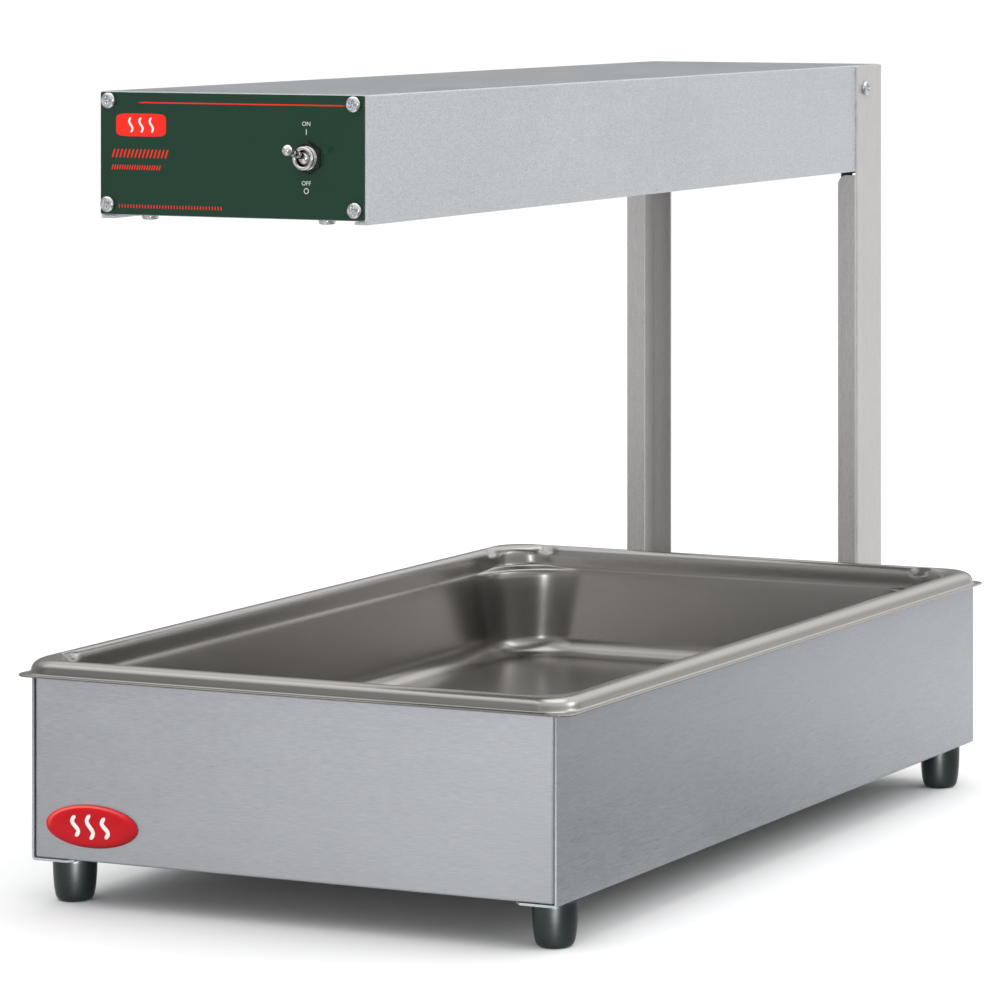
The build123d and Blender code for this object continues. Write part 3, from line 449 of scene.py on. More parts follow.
def side_ts(n_end, n_mid):
    a = [0.11 * (i / n_end) for i in range(n_end)]
    b = [0.11 + 0.78 * i / n_mid for i in range(n_mid)]
    return a + b + [1 - x for x in reversed(a[1:])]


TS_X, TS_Y = side_ts(20, 10), side_ts(28, 14)
NC = 18


def ring(hx, hy, r):
    """Rounded rectangle, counter-clockwise, the same number of points whatever its size."""
    pts = []
    r = max(0.05, min(r, hx - 0.01, hy - 0.01))
    cs = [(hx - r, -(hy - r)), (hx - r, hy - r), (-(hx - r), hy - r), (-(hx - r), -(hy - r))]
    # right side, upper right corner, top side, ...
    for k in range(4):
        a0 = k * math.pi / 2
        c1, c2 = cs[k], cs[(k + 1) % 4]
        s = (c1[0] + r * math.cos(a0), c1[1] + r * math.sin(a0))
        e = (c2[0] + r * math.cos(a0), c2[1] + r * math.sin(a0))
        for tt in (TS_Y if k % 2 == 0 else TS_X):
            pts.append((s[0] + (e[0] - s[0]) * tt, s[1] + (e[1] - s[1]) * tt))
        for i in range(NC):
            a = a0 + (math.pi / 2) * i / NC
            pts.append((c2[0] + r * math.cos(a), c2[1] + r * math.sin(a)))
    return pts


prof = [  # inset from the lip's edge, height above the lip's underside, corner radius
    (0.30, 0.00, 9.7), (0.06, 0.14, 9.9), (0.0, 0.42, 10.0), (0.06, 0.70, 9.9), (0.30, 0.86, 9.7),
    (1.0, 0.92, 10.4), (1.75, 0.98, 12.4), (2.30, 1.22, 14.4), (2.62, 1.75, 15.3), (2.78, 2.5, 15.7),
    (2.92, 3.5, 15.9), (3.20, 4.6, 16.0), (3.72, 5.7, 16.0), (4.50, 6.7, 16.2), (5.50, 7.5, 16.6),
    (6.70, 8.02, 17.3), (8.0, 8.27, 18.4), (9.3, 8.30, 19.8), (10.4, 8.16, 21.4), (11.3, 7.75, 23.0),
    (12.0, 7.1, 24.4), (12.5, 6.2, 25.6), (12.8, 5.1, 26.6), (12.95, 3.8, 27.2), (13.05, 2.2, 27.6),
    (13.15, 0.4, 27.9), (13.25, -1.4, 28.2), (13.35, -2.6, 28.6), (13.45, -3.4, 29.8), (13.55, -3.9, 32.4),
    (13.65, -4.2, 36.5), (13.75, -4.45, 41.0), (13.9, -4.8, 44.6), (14.1, -5.4, 46.6), (14.3, -6.6, 47.4),
    (14.7, -10.0, 47.0), (15.6, -18.0, 45.0), (16.9, -30.0, 42.0), (18.0, -40.0, 39.5), (18.5, -44.5, 38.5)]
n_wall = len(prof)
fr_ = 11.2                        # inside radius at the floor
floor_z = ZB + 0.8
for i in range(1, 10):
    a = (math.pi / 2) * i / 9
    prof.append((18.5 + fr_ * (1 - math.cos(a)) + 0.1 * i / 9, (floor_z + fr_) - fr_ * math.sin(a), 38.5 - fr_ * 0.8 * (1 - math.cos(a))))
end_d, end_z, end_r = prof[-1]
for k, (dd, dz) in enumerate(((6, 0.02), (14, 0.06), (30, 0.16), (55, 0.32), (85, 0.46), (112, 0.55))):
    prof.append((end_d + dd, end_z + dz, max(3.0, end_r - dd * 0.55)))
P = np.array([(d, z) for d, z, _ in prof])
T = np.gradient(P, axis=0)
T /= np.linalg.norm(T, axis=1)[:, None]
N = np.column_stack([T[:, 1], -T[:, 0]])     # towards the underside
under = []
for i in range(len(prof) - 1, 8, -1):
    d, z = P[i] + 0.8 * N[i]
    under.append((d, max(z, ZB + (0.0 if i < n_wall + 9 else (P[i][1] - end_z))), prof[i][2] + 0.4))
under += [(3.1, 1.6, 15.4), (2.9, 0.6, 14.8), (2.5, 0.08, 13.6), (1.6, 0.0, 11.6)]
seq = [(*p, 1) for p in prof] + [(*p, -1) for p in under]
verts, faces, rings_i = [], [], []
dimple_c = 36.5                   # dimple centre from the pan's outer corner along each side
for d, z, r, s in seq:
    pts = ring(PHX - d, PHY - d, r)
    idx = []
    for x, y in pts:
        zz = z
        ax, ay = abs(x), abs(y)
        if 1.0 < z < 8.6 and d > 9.5 and d < 14.2:
            # stacking dimples pressed into the rim's inner shoulder, two at each corner
            prox = math.exp(-((math.hypot(d - 12.1, z - 6.4)) / 2.3) ** 4)
            if ay < PHY - 15:
                w = math.exp(-((PHY - ay - dimple_c) / 6.0) ** 4)
                if PHX - ax < 14.5:
                    x += math.copysign(0.95, x) * w * prox
                    zz -= 0.95 * w * prox
            if ax < PHX - 15:
                w = math.exp(-((PHX - ax - dimple_c) / 6.0) ** 4)
                if PHY - ay < 14.5:
                    y += math.copysign(0.95, y) * w * prox
                    zz -= 0.95 * w * prox
        idx.append(len(verts))
        verts.append((pcx + x, pcy + y, Z0 + zz))
    rings_i.append(idx)
nr = len(rings_i[0])
top_last = len(prof) - 1
for k in range(len(rings_i)):
    A, B = rings_i[k], rings_i[(k + 1) % len(rings_i)]
    if k == top_last:
        faces.append(tuple(A))
        faces.append(tuple(reversed(B)))
        continue
    for i in range(nr):
        j = (i + 1) % nr
        faces.append((A[i], A[j], B[j], B[i]))
pan = make("food_pan_drawn", verts, faces, "pan", "pan", SLOT["food_pan"], ("food_pan",), angle=None, recalc=True)

# ------------------------------------------------------------------ feet
flo, fhi = box("feet")
fh = fhi[2]
parts = []
fr_top = 11.5
for sx in (-1, 1):
    for sy in (-1, 1):
        cx = (flo[0] + fr_top) if sx < 0 else (fhi[0] - fr_top)
        cy = (flo[1] + fr_top) if sy < 0 else (fhi[1] - fr_top)
        pr = [(2.6, fh), (10.9, fh), (11.35, fh - 0.25), (11.5, fh - 0.8), (11.48, fh - 3), (11.42, fh - 6), (11.32, fh - 9),
              (11.14, fh - 12), (10.86, fh - 15), (10.55, fh - 17.6), (10.2, 4.2), (9.98, 3.0), (9.6, 2.0), (9.05, 1.15), (8.3, 0.5), (7.5, 0.12), (6.8, 0.0),
              (6.2, 0.0), (5.8, 0.15), (5.6, 0.5), (5.6, 9.0), (2.6, 9.0), (2.6, fh)]
        v, f = lathe(pr, 72)
        parts.append((place(v, frame_to((cx, cy, 0), (0, 0, 1))), f))
feet = make("feet_moulded", *merge(parts), "rubber", "root", SLOT["feet"], ("feet",), angle=50)

# ------------------------------------------------------------------ badge: crowned enamel plate with a thin rim, a painted highlight along its upper left edge and painted shade along its lower right
blo, bhi = box("badge")
bcx, bcz = (blo[0] + bhi[0]) / 2, (blo[2] + bhi[2]) / 2
ba, bb, by = (bhi[0] - blo[0]) / 2, (bhi[2] - blo[2]) / 2, bhi[1]
bt = bhi[1] - blo[1]


def crown(q):
    """Height of the badge's crowned face, as a share of its thickness, at a share q of its radius."""
    return 0.34 + 0.66 * math.sqrt(max(0.0, 1 - q * q))


def scaled_oval(levels, n=128, c=(bcx, bcz), y0=by, a=ba, b=bb, e=1.0):
    v, f, rr = [], [], []
    for q, s in levels:
        if q == 0:
            rr.append([len(v)])
            v.append((c[0], y0 - s, c[1]))
            continue
        ids = []
        for i in range(n):
            th = 2 * math.pi * i / n
            ids.append(len(v))
            cu_, su_ = math.cos(th), math.sin(th)
            v.append((c[0] + q * a * math.copysign(abs(cu_) ** e, cu_), y0 - s, c[1] + q * b * math.copysign(abs(su_) ** e, su_)))
        rr.append(ids)
    for A, B in zip(rr[:-1], rr[1:]):
        for i in range(n):
            j = (i + 1) % n
            if len(A) == 1:
                f.append((A[0], B[i], B[j]))
            elif len(B) == 1:
                f.append((A[i], A[j], B[0]))
            else:
                f.append((A[i], A[j], B[j], B[i]))
    return v, f


def badge_light_and_shade():
    """Red face with painted light and shade: a painted highlight along the upper left edge and painted shade along the
    lower right one.
    """
    k = NT("badge_red_painted_light")
    s_ = k.t.nodes.new("ShaderNodeSeparateXYZ")
    k.link(k.tc.outputs["Object"], s_.inputs[0])
    u_ = k.rng(s_.outputs[0], (bcx - ba) * MM, (bcx + ba) * MM, -1.0, 1.0)
    v_ = k.rng(s_.outputs[2], (bcz - bb) * MM, (bcz + bb) * MM, -1.0, 1.0)
    q_ = k.math("SQRT", k.math("ADD", k.math("MULTIPLY", u_, u_), k.math("MULTIPLY", v_, v_)))
    # painted light and shade near the edge: lighter on the upper left, darker on the lower right
    edge = k.rng(q_, 0.72, 0.97, 0.0, 1.0)
    painted_highlight_line = k.math("MULTIPLY", k.rng(q_, 0.86, 0.91, 0.0, 1.0), k.rng(q_, 0.93, 0.98, 1.0, 0.0))
    lit = k.math("SUBTRACT", k.math("MULTIPLY", v_, 0.95), k.math("MULTIPLY", u_, 0.35))
    fine_ = k.noise((420, 420, 420), 3.0, 0.6, offset=(6.1, 0.2, 1.3))
    wide = k.noise((60, 60, 60), 3.0, 0.6, offset=(0.4, 2.2, 5.3))
    f_ = k.math("ADD", 1.0, k.math("MULTIPLY", k.math("MULTIPLY", edge, lit), 0.55))
    f_ = k.math("MULTIPLY", f_, k.rng(fine_, 0.25, 0.75, 0.96, 1.04))
    f_ = k.math("MULTIPLY", f_, k.rng(wide, 0.25, 0.75, 0.95, 1.05))
    c_ = k.scale_rgb((0.50, 0.0035, 0.010), f_)
    # painted highlight: a pale line just inside the upper left edge
    c_ = k.mix(k.math("MULTIPLY", painted_highlight_line, k.rng(lit, 0.15, 1.0, 0.0, 0.50)), c_, (0.95, 0.36, 0.26, 1))
    k.link(c_, k.p.inputs["Base Color"])
    k.link(k.rng(fine_, 0.25, 0.75, 0.13, 0.19), k.p.inputs["Roughness"])
    k.p.inputs["Specular IOR Level"].default_value = 0.22
    k.link(k.bump(fine_, 0.03, 0.00002, k.bevel(0.0003, 4)), k.p.inputs["Normal"])
    return k.m


lv = [(0, 0.0), (0.985, 0.0), (0.998, 0.10 * bt), (1.0, 0.22 * bt), (0.998, 0.34 * bt)]
lv += [(q, bt * crown(q)) for q in (0.992, 0.982, 0.968, 0.95, 0.92, 0.88, 0.82, 0.74, 0.64, 0.50, 0.34, 0.17)] + [(0, bt)]
M["badge_shaded"] = badge_light_and_shade()
make("badge_domed", *scaled_oval(lv), "badge_shaded", "root", SLOT["badge"], ("badge",), angle=60)


def ribbon(path, w, y_at, lift, thick=0.12, taper=0.25, half_round=True):
    """Flat raised stroke along a 2D path (x, z) on a face looking to -Y. y_at(x, z) gives the face's y."""
    path = np.asarray(path, float)
    tan = np.gradient(path, axis=0)
    tan /= np.linalg.norm(tan, axis=1)[:, None]
    nor = np.column_stack([-tan[:, 1], tan[:, 0]])
    n = len(path)
    v, f = [], []
    cols = [(-1.0, 0.0), (-0.92, 1.0), (0.0, 1.06), (0.92, 1.0), (1.0, 0.0)]
    for i, (p, nn) in enumerate(zip(path, nor)):
        s = i / (n - 1)
        ww = w * (1.0 if not taper else min(1.0, math.sqrt(max(0.02, 1 - (max(0, abs(2 * s - 1) - (1 - taper)) / taper) ** 2))))
        for c, hh in cols:
            q = p + nn * c * ww / 2
            v.append((q[0], y_at(q[0], q[1]) - lift - thick * hh, q[1]))
        q = p
    m = len(cols)
    for i in range(n - 1):
        for k in range(m - 1):
            f.append((i * m + k, i * m + k + 1, (i + 1) * m + k + 1, (i + 1) * m + k))
        f.append((i * m + m - 1, i * m, (i + 1) * m, (i + 1) * m + m - 1))
    f.append(tuple(range(m)))
    f.append(tuple(reversed(range((n - 1) * m, n * m))))
    return v, f


def wave(cx, cz, height, amp, lean=0.0, n=40, turns=1.0):
    s = np.linspace(0, 1, n)
    return np.column_stack([cx + amp * np.sin(2 * math.pi * turns * s) + lean * (s - 0.5), cz + height * (s - 0.5)])


def badge_y(x, z):
    q = min(1.0, math.hypot((x - bcx) / ba, (z - bcz) / bb))
    return by - bt * crown(q)


# generic rising-heat mark: three waves
parts = [ribbon(wave(bcx + dx, bcz, hgt_, 1.9), 2.3, badge_y, -0.05, 0.16) for dx, hgt_ in ((-9.0, 10.5), (0.0, 12.5), (9.0, 10.5))]
make("badge_heat_mark", *merge(parts), "print_white", "root", SLOT["badge"], angle=50)

# ------------------------------------------------------------------ control panel print
clo, chi = box("control_panel")
fy = clo[1]


def face(x, z):
    return fy


ccx = (clo[0] + chi[0]) / 2
# block with heat waves, left of the panel
oc = (clo[0] + 23.7, chi[2] - 16.2)
make("print_block", *scaled_oval([(0, 0.0), (1.0, 0.0), (1.0, 0.03), (0.985, 0.05), (0.6, 0.05), (0, 0.05)], c=oc, y0=fy, a=14.6, b=5.7, e=0.34, n=160), "print_red", "root", SLOT["control_panel"], angle=50)
parts = [ribbon(wave(oc[0] + dx, oc[1], 7.4, 0.95), 1.15, face, 0.04, 0.05) for dx in (-6.0, 0.0, 6.0)]
make("print_block_mark", *merge(parts), "print_white", "root", SLOT["control_panel"], angle=50)
# pinstripe and rules
zs = chi[2] - 5.0
parts = [ribbon(np.column_stack([np.linspace(clo[0] + 22.0, clo[0] + 141.0, 60), np.full(60, zs)]), 0.62, face, 0.0, 0.05, taper=0.01)]


def dashes(x0, x1, zc, h, w, n, lean):
    """A row of plain slanted dashes."""
    out = []
    for x in np.linspace(x0, x1, n):
        zz_ = np.linspace(-h / 2, h / 2, 8)
        out.append(ribbon(np.column_stack([x + lean * zz_ / h, zc + zz_]), w, face, 0.0, 0.05, taper=0.04))
    return out


parts += dashes(clo[0] + 7.6, clo[0] + 38.6, chi[2] - 30.4, 4.6, 0.85, 15, 1.7)
parts += dashes(clo[0] + 7.0, clo[0] + 34.6, chi[2] - 37.3, 2.6, 0.62, 20, 0.9)
parts += dashes(clo[0] + 11.0, clo[0] + 70.2, clo[2] + 4.2, 1.9, 0.55, 36, 0.0)
make("print_stripes", *merge(parts), "print_red", "root", SLOT["control_panel"], angle=50)

# switch legends
slo, shi = box("switch_nut")
swx, swz = (slo[0] + shi[0]) / 2, (slo[2] + shi[2]) / 2


def legend(name, text, x, z, size):
    cu = bpy.data.curves.new(name, "FONT")
    cu.body = text
    cu.size = size * MM
    cu.align_x = "CENTER"
    cu.align_y = "CENTER"
    cu.extrude = 0.03 * MM
    cu.offset = 0.0
    cu.resolution_u = 4
    o = bpy.data.objects.new(name + "_c", cu)
    bpy.context.scene.collection.objects.link(o)
    o.rotation_euler = (math.pi / 2, 0, 0)
    o.location = (x * MM, (fy - 0.03) * MM, z * MM)
    bpy.context.view_layer.update()
    dg = bpy.context.evaluated_depsgraph_get()
    me = bpy.data.meshes.new_from_object(o.evaluated_get(dg))
    me.transform(o.matrix_world)
    bpy.data.objects.remove(o)
    q = bpy.data.objects.new(name, me)
    bpy.context.scene.collection.objects.link(q)
    me.materials.clear()
    me.materials.append(M["print_grey"])
    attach(q, "root")


legend("legend_on", "ON", swx - 1.2, swz + 16.6, 3.1)
legend("legend_off", "OFF", swx - 1.2, swz - 12.5, 3.1)
parts = [ribbon(np.column_stack([np.full(12, swx - 1.2), np.linspace(swz + 11.2, swz + 14.2, 12)]), 0.42, face, 0.0, 0.05, taper=0.05)]
th = np.linspace(0, 2 * math.pi, 49)
parts.append(ribbon(np.column_stack([swx - 1.2 + 1.2 * np.cos(th), swz - 16.2 + 1.25 * np.sin(th)]), 0.4, face, 0.0, 0.05, taper=0))
make("legend_symbols", *merge(parts), "print_grey", "root", SLOT["control_panel"], angle=50)


# ------------------------------------------------------------------ screws
def head_points(node, ax, rad, two_sided):
    """Boxes of the node's separate fasteners, from groups of the CAD mesh's points."""
    pts = np.array([v.co for v in nodes[node].data.vertices]) / MM
    keep = [k for k in range(3) if k != ax]
    groups = [pts[pts[:, ax] > 0], pts[pts[:, ax] <= 0]] if two_sided else [pts]
    out = []
    for g in groups:
        left = np.ones(len(g), bool)
        while left.any():
            seed = g[int(np.argmax(left))][keep]
            near = left & (np.linalg.norm(g[:, keep] - seed, axis=1) < rad * 3)
            out.append((g[near].min(0), g[near].max(0)))
            left &= ~near
    return out


def screws(name, node, ax, sign, rad, h, shank, shank_r, mat="zinc", two_sided=False):
    parts = []
    for i, (lo, hi) in enumerate(head_points(node, ax, rad, two_sided)):
        c = (lo + hi) / 2
        s = sign
        if two_sided:
            s = 1 if c[ax] > 0 else -1
        seat = (hi[ax] - h) if s > 0 else (lo[ax] + h)
        c[ax] = seat
        z = [0, 0, 0]
        z[ax] = s
        v, f = screw_head(rad, h, turn=0.35 + 1.37 * i, shank=shank, shank_r=shank_r)
        parts.append((place(v, frame_to(c, z)), f))
    return make(name, *merge(parts), mat, "root", SLOT[node], (node,), angle=42)


screws("panel_screws_cross", "panel_screws", 1, -1, 3.95, 2.5, 12.0, 1.44)
screws("rear_screws_cross", "rear_cap_screws", 1, 1, 3.95, 2.5, 12.0, 1.44)
screws("cap_screws_cross", "cap_screws", 2, -1, 4.2, 2.6, 6.0, 1.9)
screws("leg_screws_cross", "leg_web_screws", 0, 1, 4.3, 2.6, 8.0, 1.95, two_sided=True)

# ------------------------------------------------------------------ toggle switch
J = [j for j in frame["joints"] if j["child"] == "lever"][0]
piv = np.array(J["pos_m"]) / MM
llo, lhi = box("switch_lever")
tip_c = np.array([piv[0], 0, 0])
# lever axis: from the pivot to the ball's centre, which is the tip ball's radius inside the box
rb = 2.95
tip_c = np.array([piv[0], llo[1] + rb, lhi[2] - rb])
ldir = tip_c - piv
L = float(np.linalg.norm(ldir))
pr = [(0, -6.6), (0.85, -6.6), (1.1, -6.3), (1.1, -3.59)]
pr += [(3.75 * math.sin(a), -3.75 * math.cos(a)) for a in np.linspace(math.radians(17), math.radians(157), 20)]
pr += [(1.50, 3.75), (1.66, 5.0), (1.80, 7.5), (1.95, 10.0), (2.08, 12.2), (2.05, 12.9), (1.80, 13.4), (1.62, 13.9), (1.55, 14.5)]
pr += [(rb * math.sin(a), L - rb * math.cos(a)) for a in np.linspace(math.radians(34), math.radians(180), 20)]
pr[-1] = (0, L + rb)
v, f = lathe(pr, 56)
make("toggle_bat", place(v, frame_to(piv, ldir)), f, "nickel", "lever", SLOT["switch_lever"], ("switch_lever",), angle=50)

# bushing with its thread
ulo, uhi = box("switch_bushing")
depth = uhi[1] - ulo[1]
pr = [(4.0, 0.0), (6.0 - 0.35, 0.0), (5.95, 0.3)]
zz, pitch = 0.5, 0.78
while zz < depth - 1.7:
    pr += [(5.98, zz), (5.98, zz + 0.12), (5.62, zz + pitch * 0.5), (5.62, zz + pitch * 0.55)]
    zz += pitch
pr += [(5.98, depth - 1.35), (5.98, depth - 0.9), (5.80, depth - 0.45), (5.45, depth - 0.12), (5.0, depth), (4.75, depth), (4.35, depth - 0.15), (4.05, depth - 0.55), (4.0, depth - 1.1), (4.0, 0.0)]
v, f = lathe(pr, 72)
make("toggle_bushing", place(v, frame_to((swx, uhi[1], swz), (0, -1, 0))), f, "nickel", "root", SLOT["switch_bushing"], ("switch_bushing",), angle=40)


# hex nut with chamfered corners
def hex_nut(af, thick, bore, rot=0.0, seg=96):
    R = af / 2
    v, f, rr = [], [], []

    def hexr(a):
        b = (a - rot) % (math.pi / 3) - math.pi / 6
        return R / math.cos(b)

    def ringp(fn, z):
        ids = []
        for i in range(seg):
            a = 2 * math.pi * i / seg
            r = fn(a)
            zz = z(a) if callable(z) else z
            ids.append(len(v))
            v.append((r * math.cos(a), r * math.sin(a), zz))
        rr.append(ids)
    cham = lambda a: thick - max(0.0, (hexr(a) - R * 0.985)) * 0.55
    chamb = lambda a: max(0.0, (hexr(a) - R * 0.985)) * 0.2
    ringp(lambda a: bore, 0.0)
    ringp(lambda a: R * 0.985, 0.0)
    ringp(hexr, chamb)
    ringp(hexr, cham)
    ringp(lambda a: R * 0.985, thick)
    ringp(lambda a: bore + 0.35, thick)
    ringp(lambda a: bore, thick - 0.35)
    for A, B in zip(rr, rr[1:] + rr[:1]):
        for i in range(seg):
            j = (i + 1) % seg
            f.append((A[i], A[j], B[j], B[i]))
    return v, f


nt = shi[1] - slo[1]
v, f = hex_nut(14.0, nt, 6.06, rot=math.radians(0))
make("toggle_nut", place(v, frame_to((swx, shi[1], swz), (0, -1, 0), (0, 0, 1))), f, "black_nut", "root", SLOT["switch_nut"], ("switch_nut",), angle=30)

# ------------------------------------------------------------------ stage, lights and camera
def shade(name, build):
    m = bpy.data.materials.new(name)
    m.use_nodes = True
    build(m.node_tree)
    return m


def floor_nodes(t):
    """Pale floor. In reflections it is a softly graded grey card, so that the sheet metal shows a gradient."""
    t.nodes.clear()
    o = t.nodes.new("ShaderNodeOutputMaterial")
    p = t.nodes.new("ShaderNodeBsdfPrincipled")
    p.inputs["Roughness"].default_value = 0.9
    p.inputs["Specular IOR Level"].default_value = 0.0
    g = t.nodes.new("ShaderNodeNewGeometry")
    sp = t.nodes.new("ShaderNodeSeparateXYZ")
    t.links.new(g.outputs["Position"], sp.inputs[0])

    def rng(v, a, b, c, d, smooth=True):
        r = t.nodes.new("ShaderNodeMapRange")
        r.interpolation_type = "SMOOTHSTEP" if smooth else "LINEAR"
        for k, x in zip(("From Min", "From Max", "To Min", "To Max"), (a, b, c, d)):
            r.inputs[k].default_value = x
        t.links.new(v, r.inputs["Value"])
        return r.outputs["Result"]
    front = rng(sp.outputs[0], -0.55, 0.12, FLOOR[0], FLOOR[1])
    far = rng(sp.outputs[0], -1.5, -0.75, 1.0, 0.0)
    mf = t.nodes.new("ShaderNodeMix")
    mf.data_type = "FLOAT"
    mf.inputs[3].default_value = FLOOR_FAR
    t.links.new(far, mf.inputs[0])
    t.links.new(front, mf.inputs[2])
    front = mf.outputs[0]
    side = rng(sp.outputs[1], 0.0, 0.75, FLOOR[2], FLOOR[3])
    pick = rng(sp.outputs[0], 0.10, 0.22, 0.0, 1.0)
    m = t.nodes.new("ShaderNodeMix")
    m.data_type = "FLOAT"
    t.links.new(pick, m.inputs[0])
    t.links.new(front, m.inputs[2])
    t.links.new(side, m.inputs[3])
    lp = t.nodes.new("ShaderNodeLightPath")
    m2 = t.nodes.new("ShaderNodeMix")
    m2.data_type = "FLOAT"
    m2.inputs[2].default_value = 0.92
    t.links.new(lp.outputs["Is Glossy Ray"], m2.inputs[0])
    t.links.new(m.outputs[0], m2.inputs[3])
    t.links.new(m2.outputs[0], p.inputs["Base Color"])
    # clear to a camera below it, so the underside can be looked at
    tr = t.nodes.new("ShaderNodeBsdfTransparent")
    both = t.nodes.new("ShaderNodeMath")
    both.operation = "MULTIPLY"
    t.links.new(lp.outputs["Is Camera Ray"], both.inputs[0])
    t.links.new(g.outputs["Backfacing"], both.inputs[1])
    ms = t.nodes.new("ShaderNodeMixShader")
    t.links.new(both.outputs[0], ms.inputs[0])
    t.links.new(p.outputs[0], ms.inputs[1])
    t.links.new(tr.outputs[0], ms.inputs[2])
    t.links.new(ms.outputs[0], o.inputs[0])


FLOOR = (0.36, 0.90, 0.25, 0.76)
FLOOR_FAR = 0.66
me = bpy.data.meshes.new("floor")
S = 400.0
me.from_pydata([(-S, -S, 0), (S, -S, 0), (S, S, 0), (-S, S, 0)], [], [(0, 1, 2, 3)])
floor = bpy.data.objects.new("floor", me)
bpy.context.scene.collection.objects.link(floor)
me.materials.append(shade("floor_pale", floor_nodes))

sc = bpy.context.scene
sc.view_settings.view_transform = "Standard"
sc.view_settings.look = "None"
ZENITH = 1.38
WORLD_RING = [(0.0, 0.9), (0.05, 1.1), (0.12, 0.45), (0.25, 0.55), (0.42, 0.30), (0.49, 0.42), (0.535, 1.15), (0.60, 0.45), (0.75, 0.7), (0.9, 0.8), (1.0, 0.9)]
w = bpy.data.worlds.new("studio")
sc.world = w
w.use_nodes = True
t = w.node_tree
t.nodes.clear()
out = t.nodes.new("ShaderNodeOutputWorld")
bg = t.nodes.new("ShaderNodeBackground")
tc = t.nodes.new("ShaderNodeTexCoord")
sep = t.nodes.new("ShaderNodeSeparateXYZ")
t.links.new(tc.outputs["Generated"], sep.inputs[0])
ang = t.nodes.new("ShaderNodeMath")
ang.operation = "ARCTAN2"
t.links.new(sep.outputs[0], ang.inputs[0])
t.links.new(sep.outputs[1], ang.inputs[1])
u = t.nodes.new("ShaderNodeMapRange")
u.inputs["From Min"].default_value = -math.pi
u.inputs["From Max"].default_value = math.pi
t.links.new(ang.outputs[0], u.inputs["Value"])
ring_ = t.nodes.new("ShaderNodeValToRGB")
t.links.new(u.outputs["Result"], ring_.inputs[0])
# brightness round the horizon, from -Y through -X, +Y and +X back to -Y
stops = WORLD_RING
cr = ring_.color_ramp
cr.interpolation = "EASE"
while len(cr.elements) < len(stops):
    cr.elements.new(0.5)
for e, (p_, v_) in zip(cr.elements, stops):
    e.position = p_
    e.color = (v_, v_, v_, 1)
up = t.nodes.new("ShaderNodeMapRange")
up.interpolation_type = "SMOOTHSTEP"
for k_, x_ in zip(("From Min", "From Max", "To Min", "To Max"), (0.02, 0.62, 0.0, 1.0)):
    up.inputs[k_].default_value = x_


def wmath(op, a_, b_):
    n_ = t.nodes.new("ShaderNodeMath")
    n_.operation = op
    for i_, v_ in enumerate((a_, b_)):
        if isinstance(v_, (int, float)):
            n_.inputs[i_].default_value = v_
        else:
            t.links.new(v_, n_.inputs[i_])
    return n_.outputs[0]


neg_y = wmath("MAXIMUM", wmath("MULTIPLY", sep.outputs[1], -1.0), 0.0)
neg_x = wmath("MAXIMUM", wmath("MULTIPLY", sep.outputs[0], -1.0), 0.0)
zz_w = wmath("SUBTRACT", sep.outputs[2], wmath("ADD", wmath("MULTIPLY", neg_y, 0.42), wmath("MULTIPLY", neg_x, 0.40)))
t.links.new(zz_w, up.inputs["Value"])
mixw = t.nodes.new("ShaderNodeMix")
mixw.data_type = "RGBA"
t.links.new(up.outputs["Result"], mixw.inputs[0])
t.links.new(ring_.outputs[0], mixw.inputs[6])
mixw.inputs[7].default_value = (ZENITH, ZENITH, ZENITH, 1)
bg.inputs["Strength"].default_value = 1.0
t.links.new(mixw.outputs[2], bg.inputs[0])
# white to the camera itself, so that low viewpoints show no horizon behind the floor
plain_bg = t.nodes.new("ShaderNodeBackground")
plain_bg.inputs[0].default_value = (1, 1, 1, 1)
lp_w = t.nodes.new("ShaderNodeLightPath")
mix_bg = t.nodes.new("ShaderNodeMixShader")
t.links.new(lp_w.outputs["Is Camera Ray"], mix_bg.inputs[0])
t.links.new(bg.outputs[0], mix_bg.inputs[1])
t.links.new(plain_bg.outputs[0], mix_bg.inputs[2])
t.links.new(mix_bg.outputs[0], out.inputs[0])


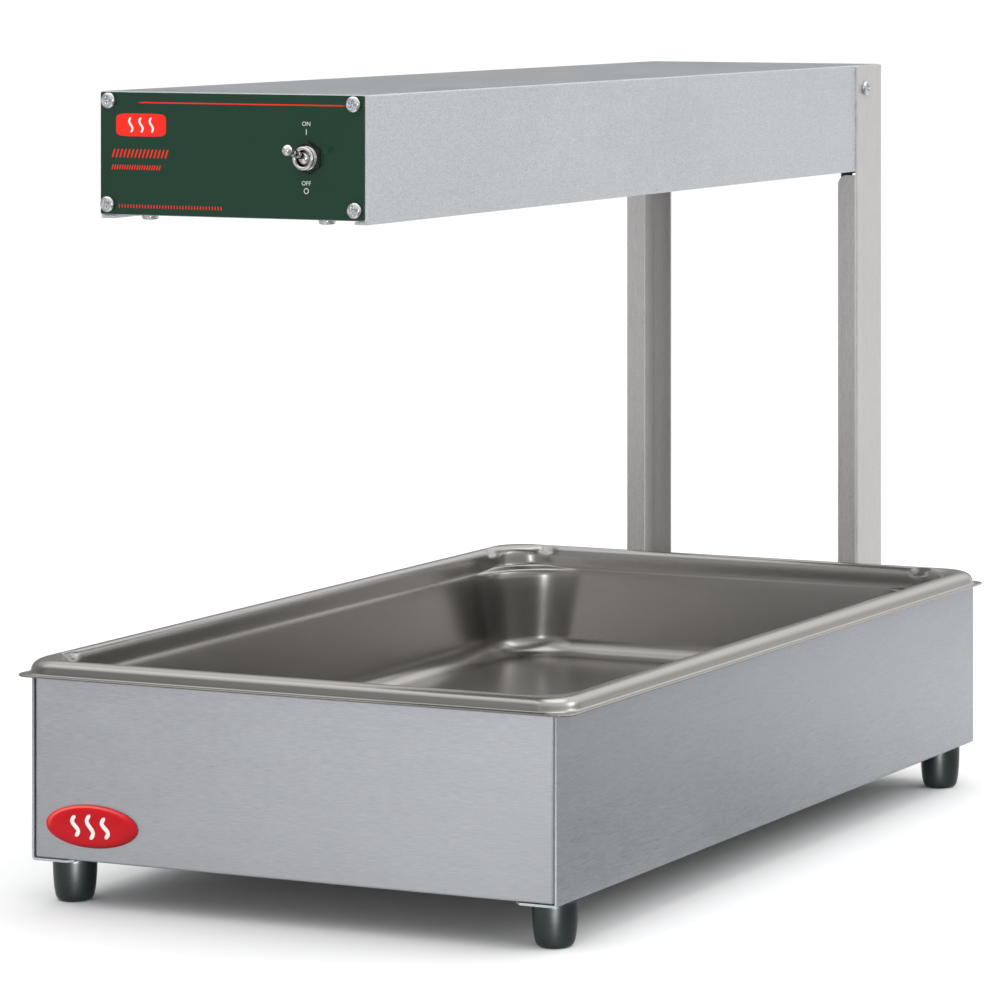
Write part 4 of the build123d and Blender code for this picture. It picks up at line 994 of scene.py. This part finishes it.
def area(name, loc, target, size, power, size_y=None, col=(1, 1, 1)):
    l = bpy.data.lights.new(name, "AREA")
    l.energy = power
    l.color = col
    l.shape = "RECTANGLE"
    l.size, l.size_y = size, size_y or size
    o = bpy.data.objects.new(name, l)
    sc.collection.objects.link(o)
    o.location = loc
    o.rotation_euler = (Vector(target) - Vector(loc)).to_track_quat("-Z", "Y").to_euler()
    return o


area("key", (-1.7, -1.6, 2.6), (0, 0, 0.2), 2.2, 9, 1.6)
area("right", (2.2, 0.6, 1.7), (0.1, 0, 0.25), 1.2, 9, 1.2)
area("top", (0.2, 0.2, 2.6), (0, 0, 0.2), 1.6, 10)
area("strip", (1.02, -1.85, 0.34), (0.05, -0.2, 0.05), 0.16, 5, 0.55)
low = area("low_strip", (1.06, -1.95, 0.17), (0.02, -0.2, 0.012), 0.08, 150, 0.30, (0.90, 1.0, 1.0))
only = bpy.data.collections.new("lit_by_low_strip")
only.objects.link(feet)
low.light_linking.receiver_collection = only

cam = bpy.data.cameras.new("camera")
co = bpy.data.objects.new("camera", cam)
sc.collection.objects.link(co)
CX, CY, CZ, YAW = 1.246886, -2.287475, 0.500947, 0.413057
co.location = (CX, CY, CZ)
co.rotation_euler = (math.pi / 2, 0, YAW)
cam.sensor_width = 36.0
cam.lens = 36.0 * 4.716177
cam.clip_start, cam.clip_end = 0.05, 200.0
SHX, SHY = -0.425245, -0.565096


def shift_driver(path, value):
    """The lens shift belongs to the reference viewpoint only; from anywhere else the camera looks straight."""
    d = cam.driver_add(path).driver
    d.type = "SCRIPTED"
    for nm, tt in (("x", "LOC_X"), ("y", "LOC_Y")):
        vv = d.variables.new()
        vv.name = nm
        vv.type = "TRANSFORMS"
        vv.targets[0].id = co
        vv.targets[0].transform_type = tt
        vv.targets[0].transform_space = "WORLD_SPACE"
    d.expression = f"{value} if (abs(x - {CX}) < 0.001 and abs(y - {CY}) < 0.001) else 0.0"


cam.shift_x, cam.shift_y = SHX, SHY
shift_driver("shift_x", SHX)
shift_driver("shift_y", SHY)
sc.camera = co

bpy.context.view_layer.update()
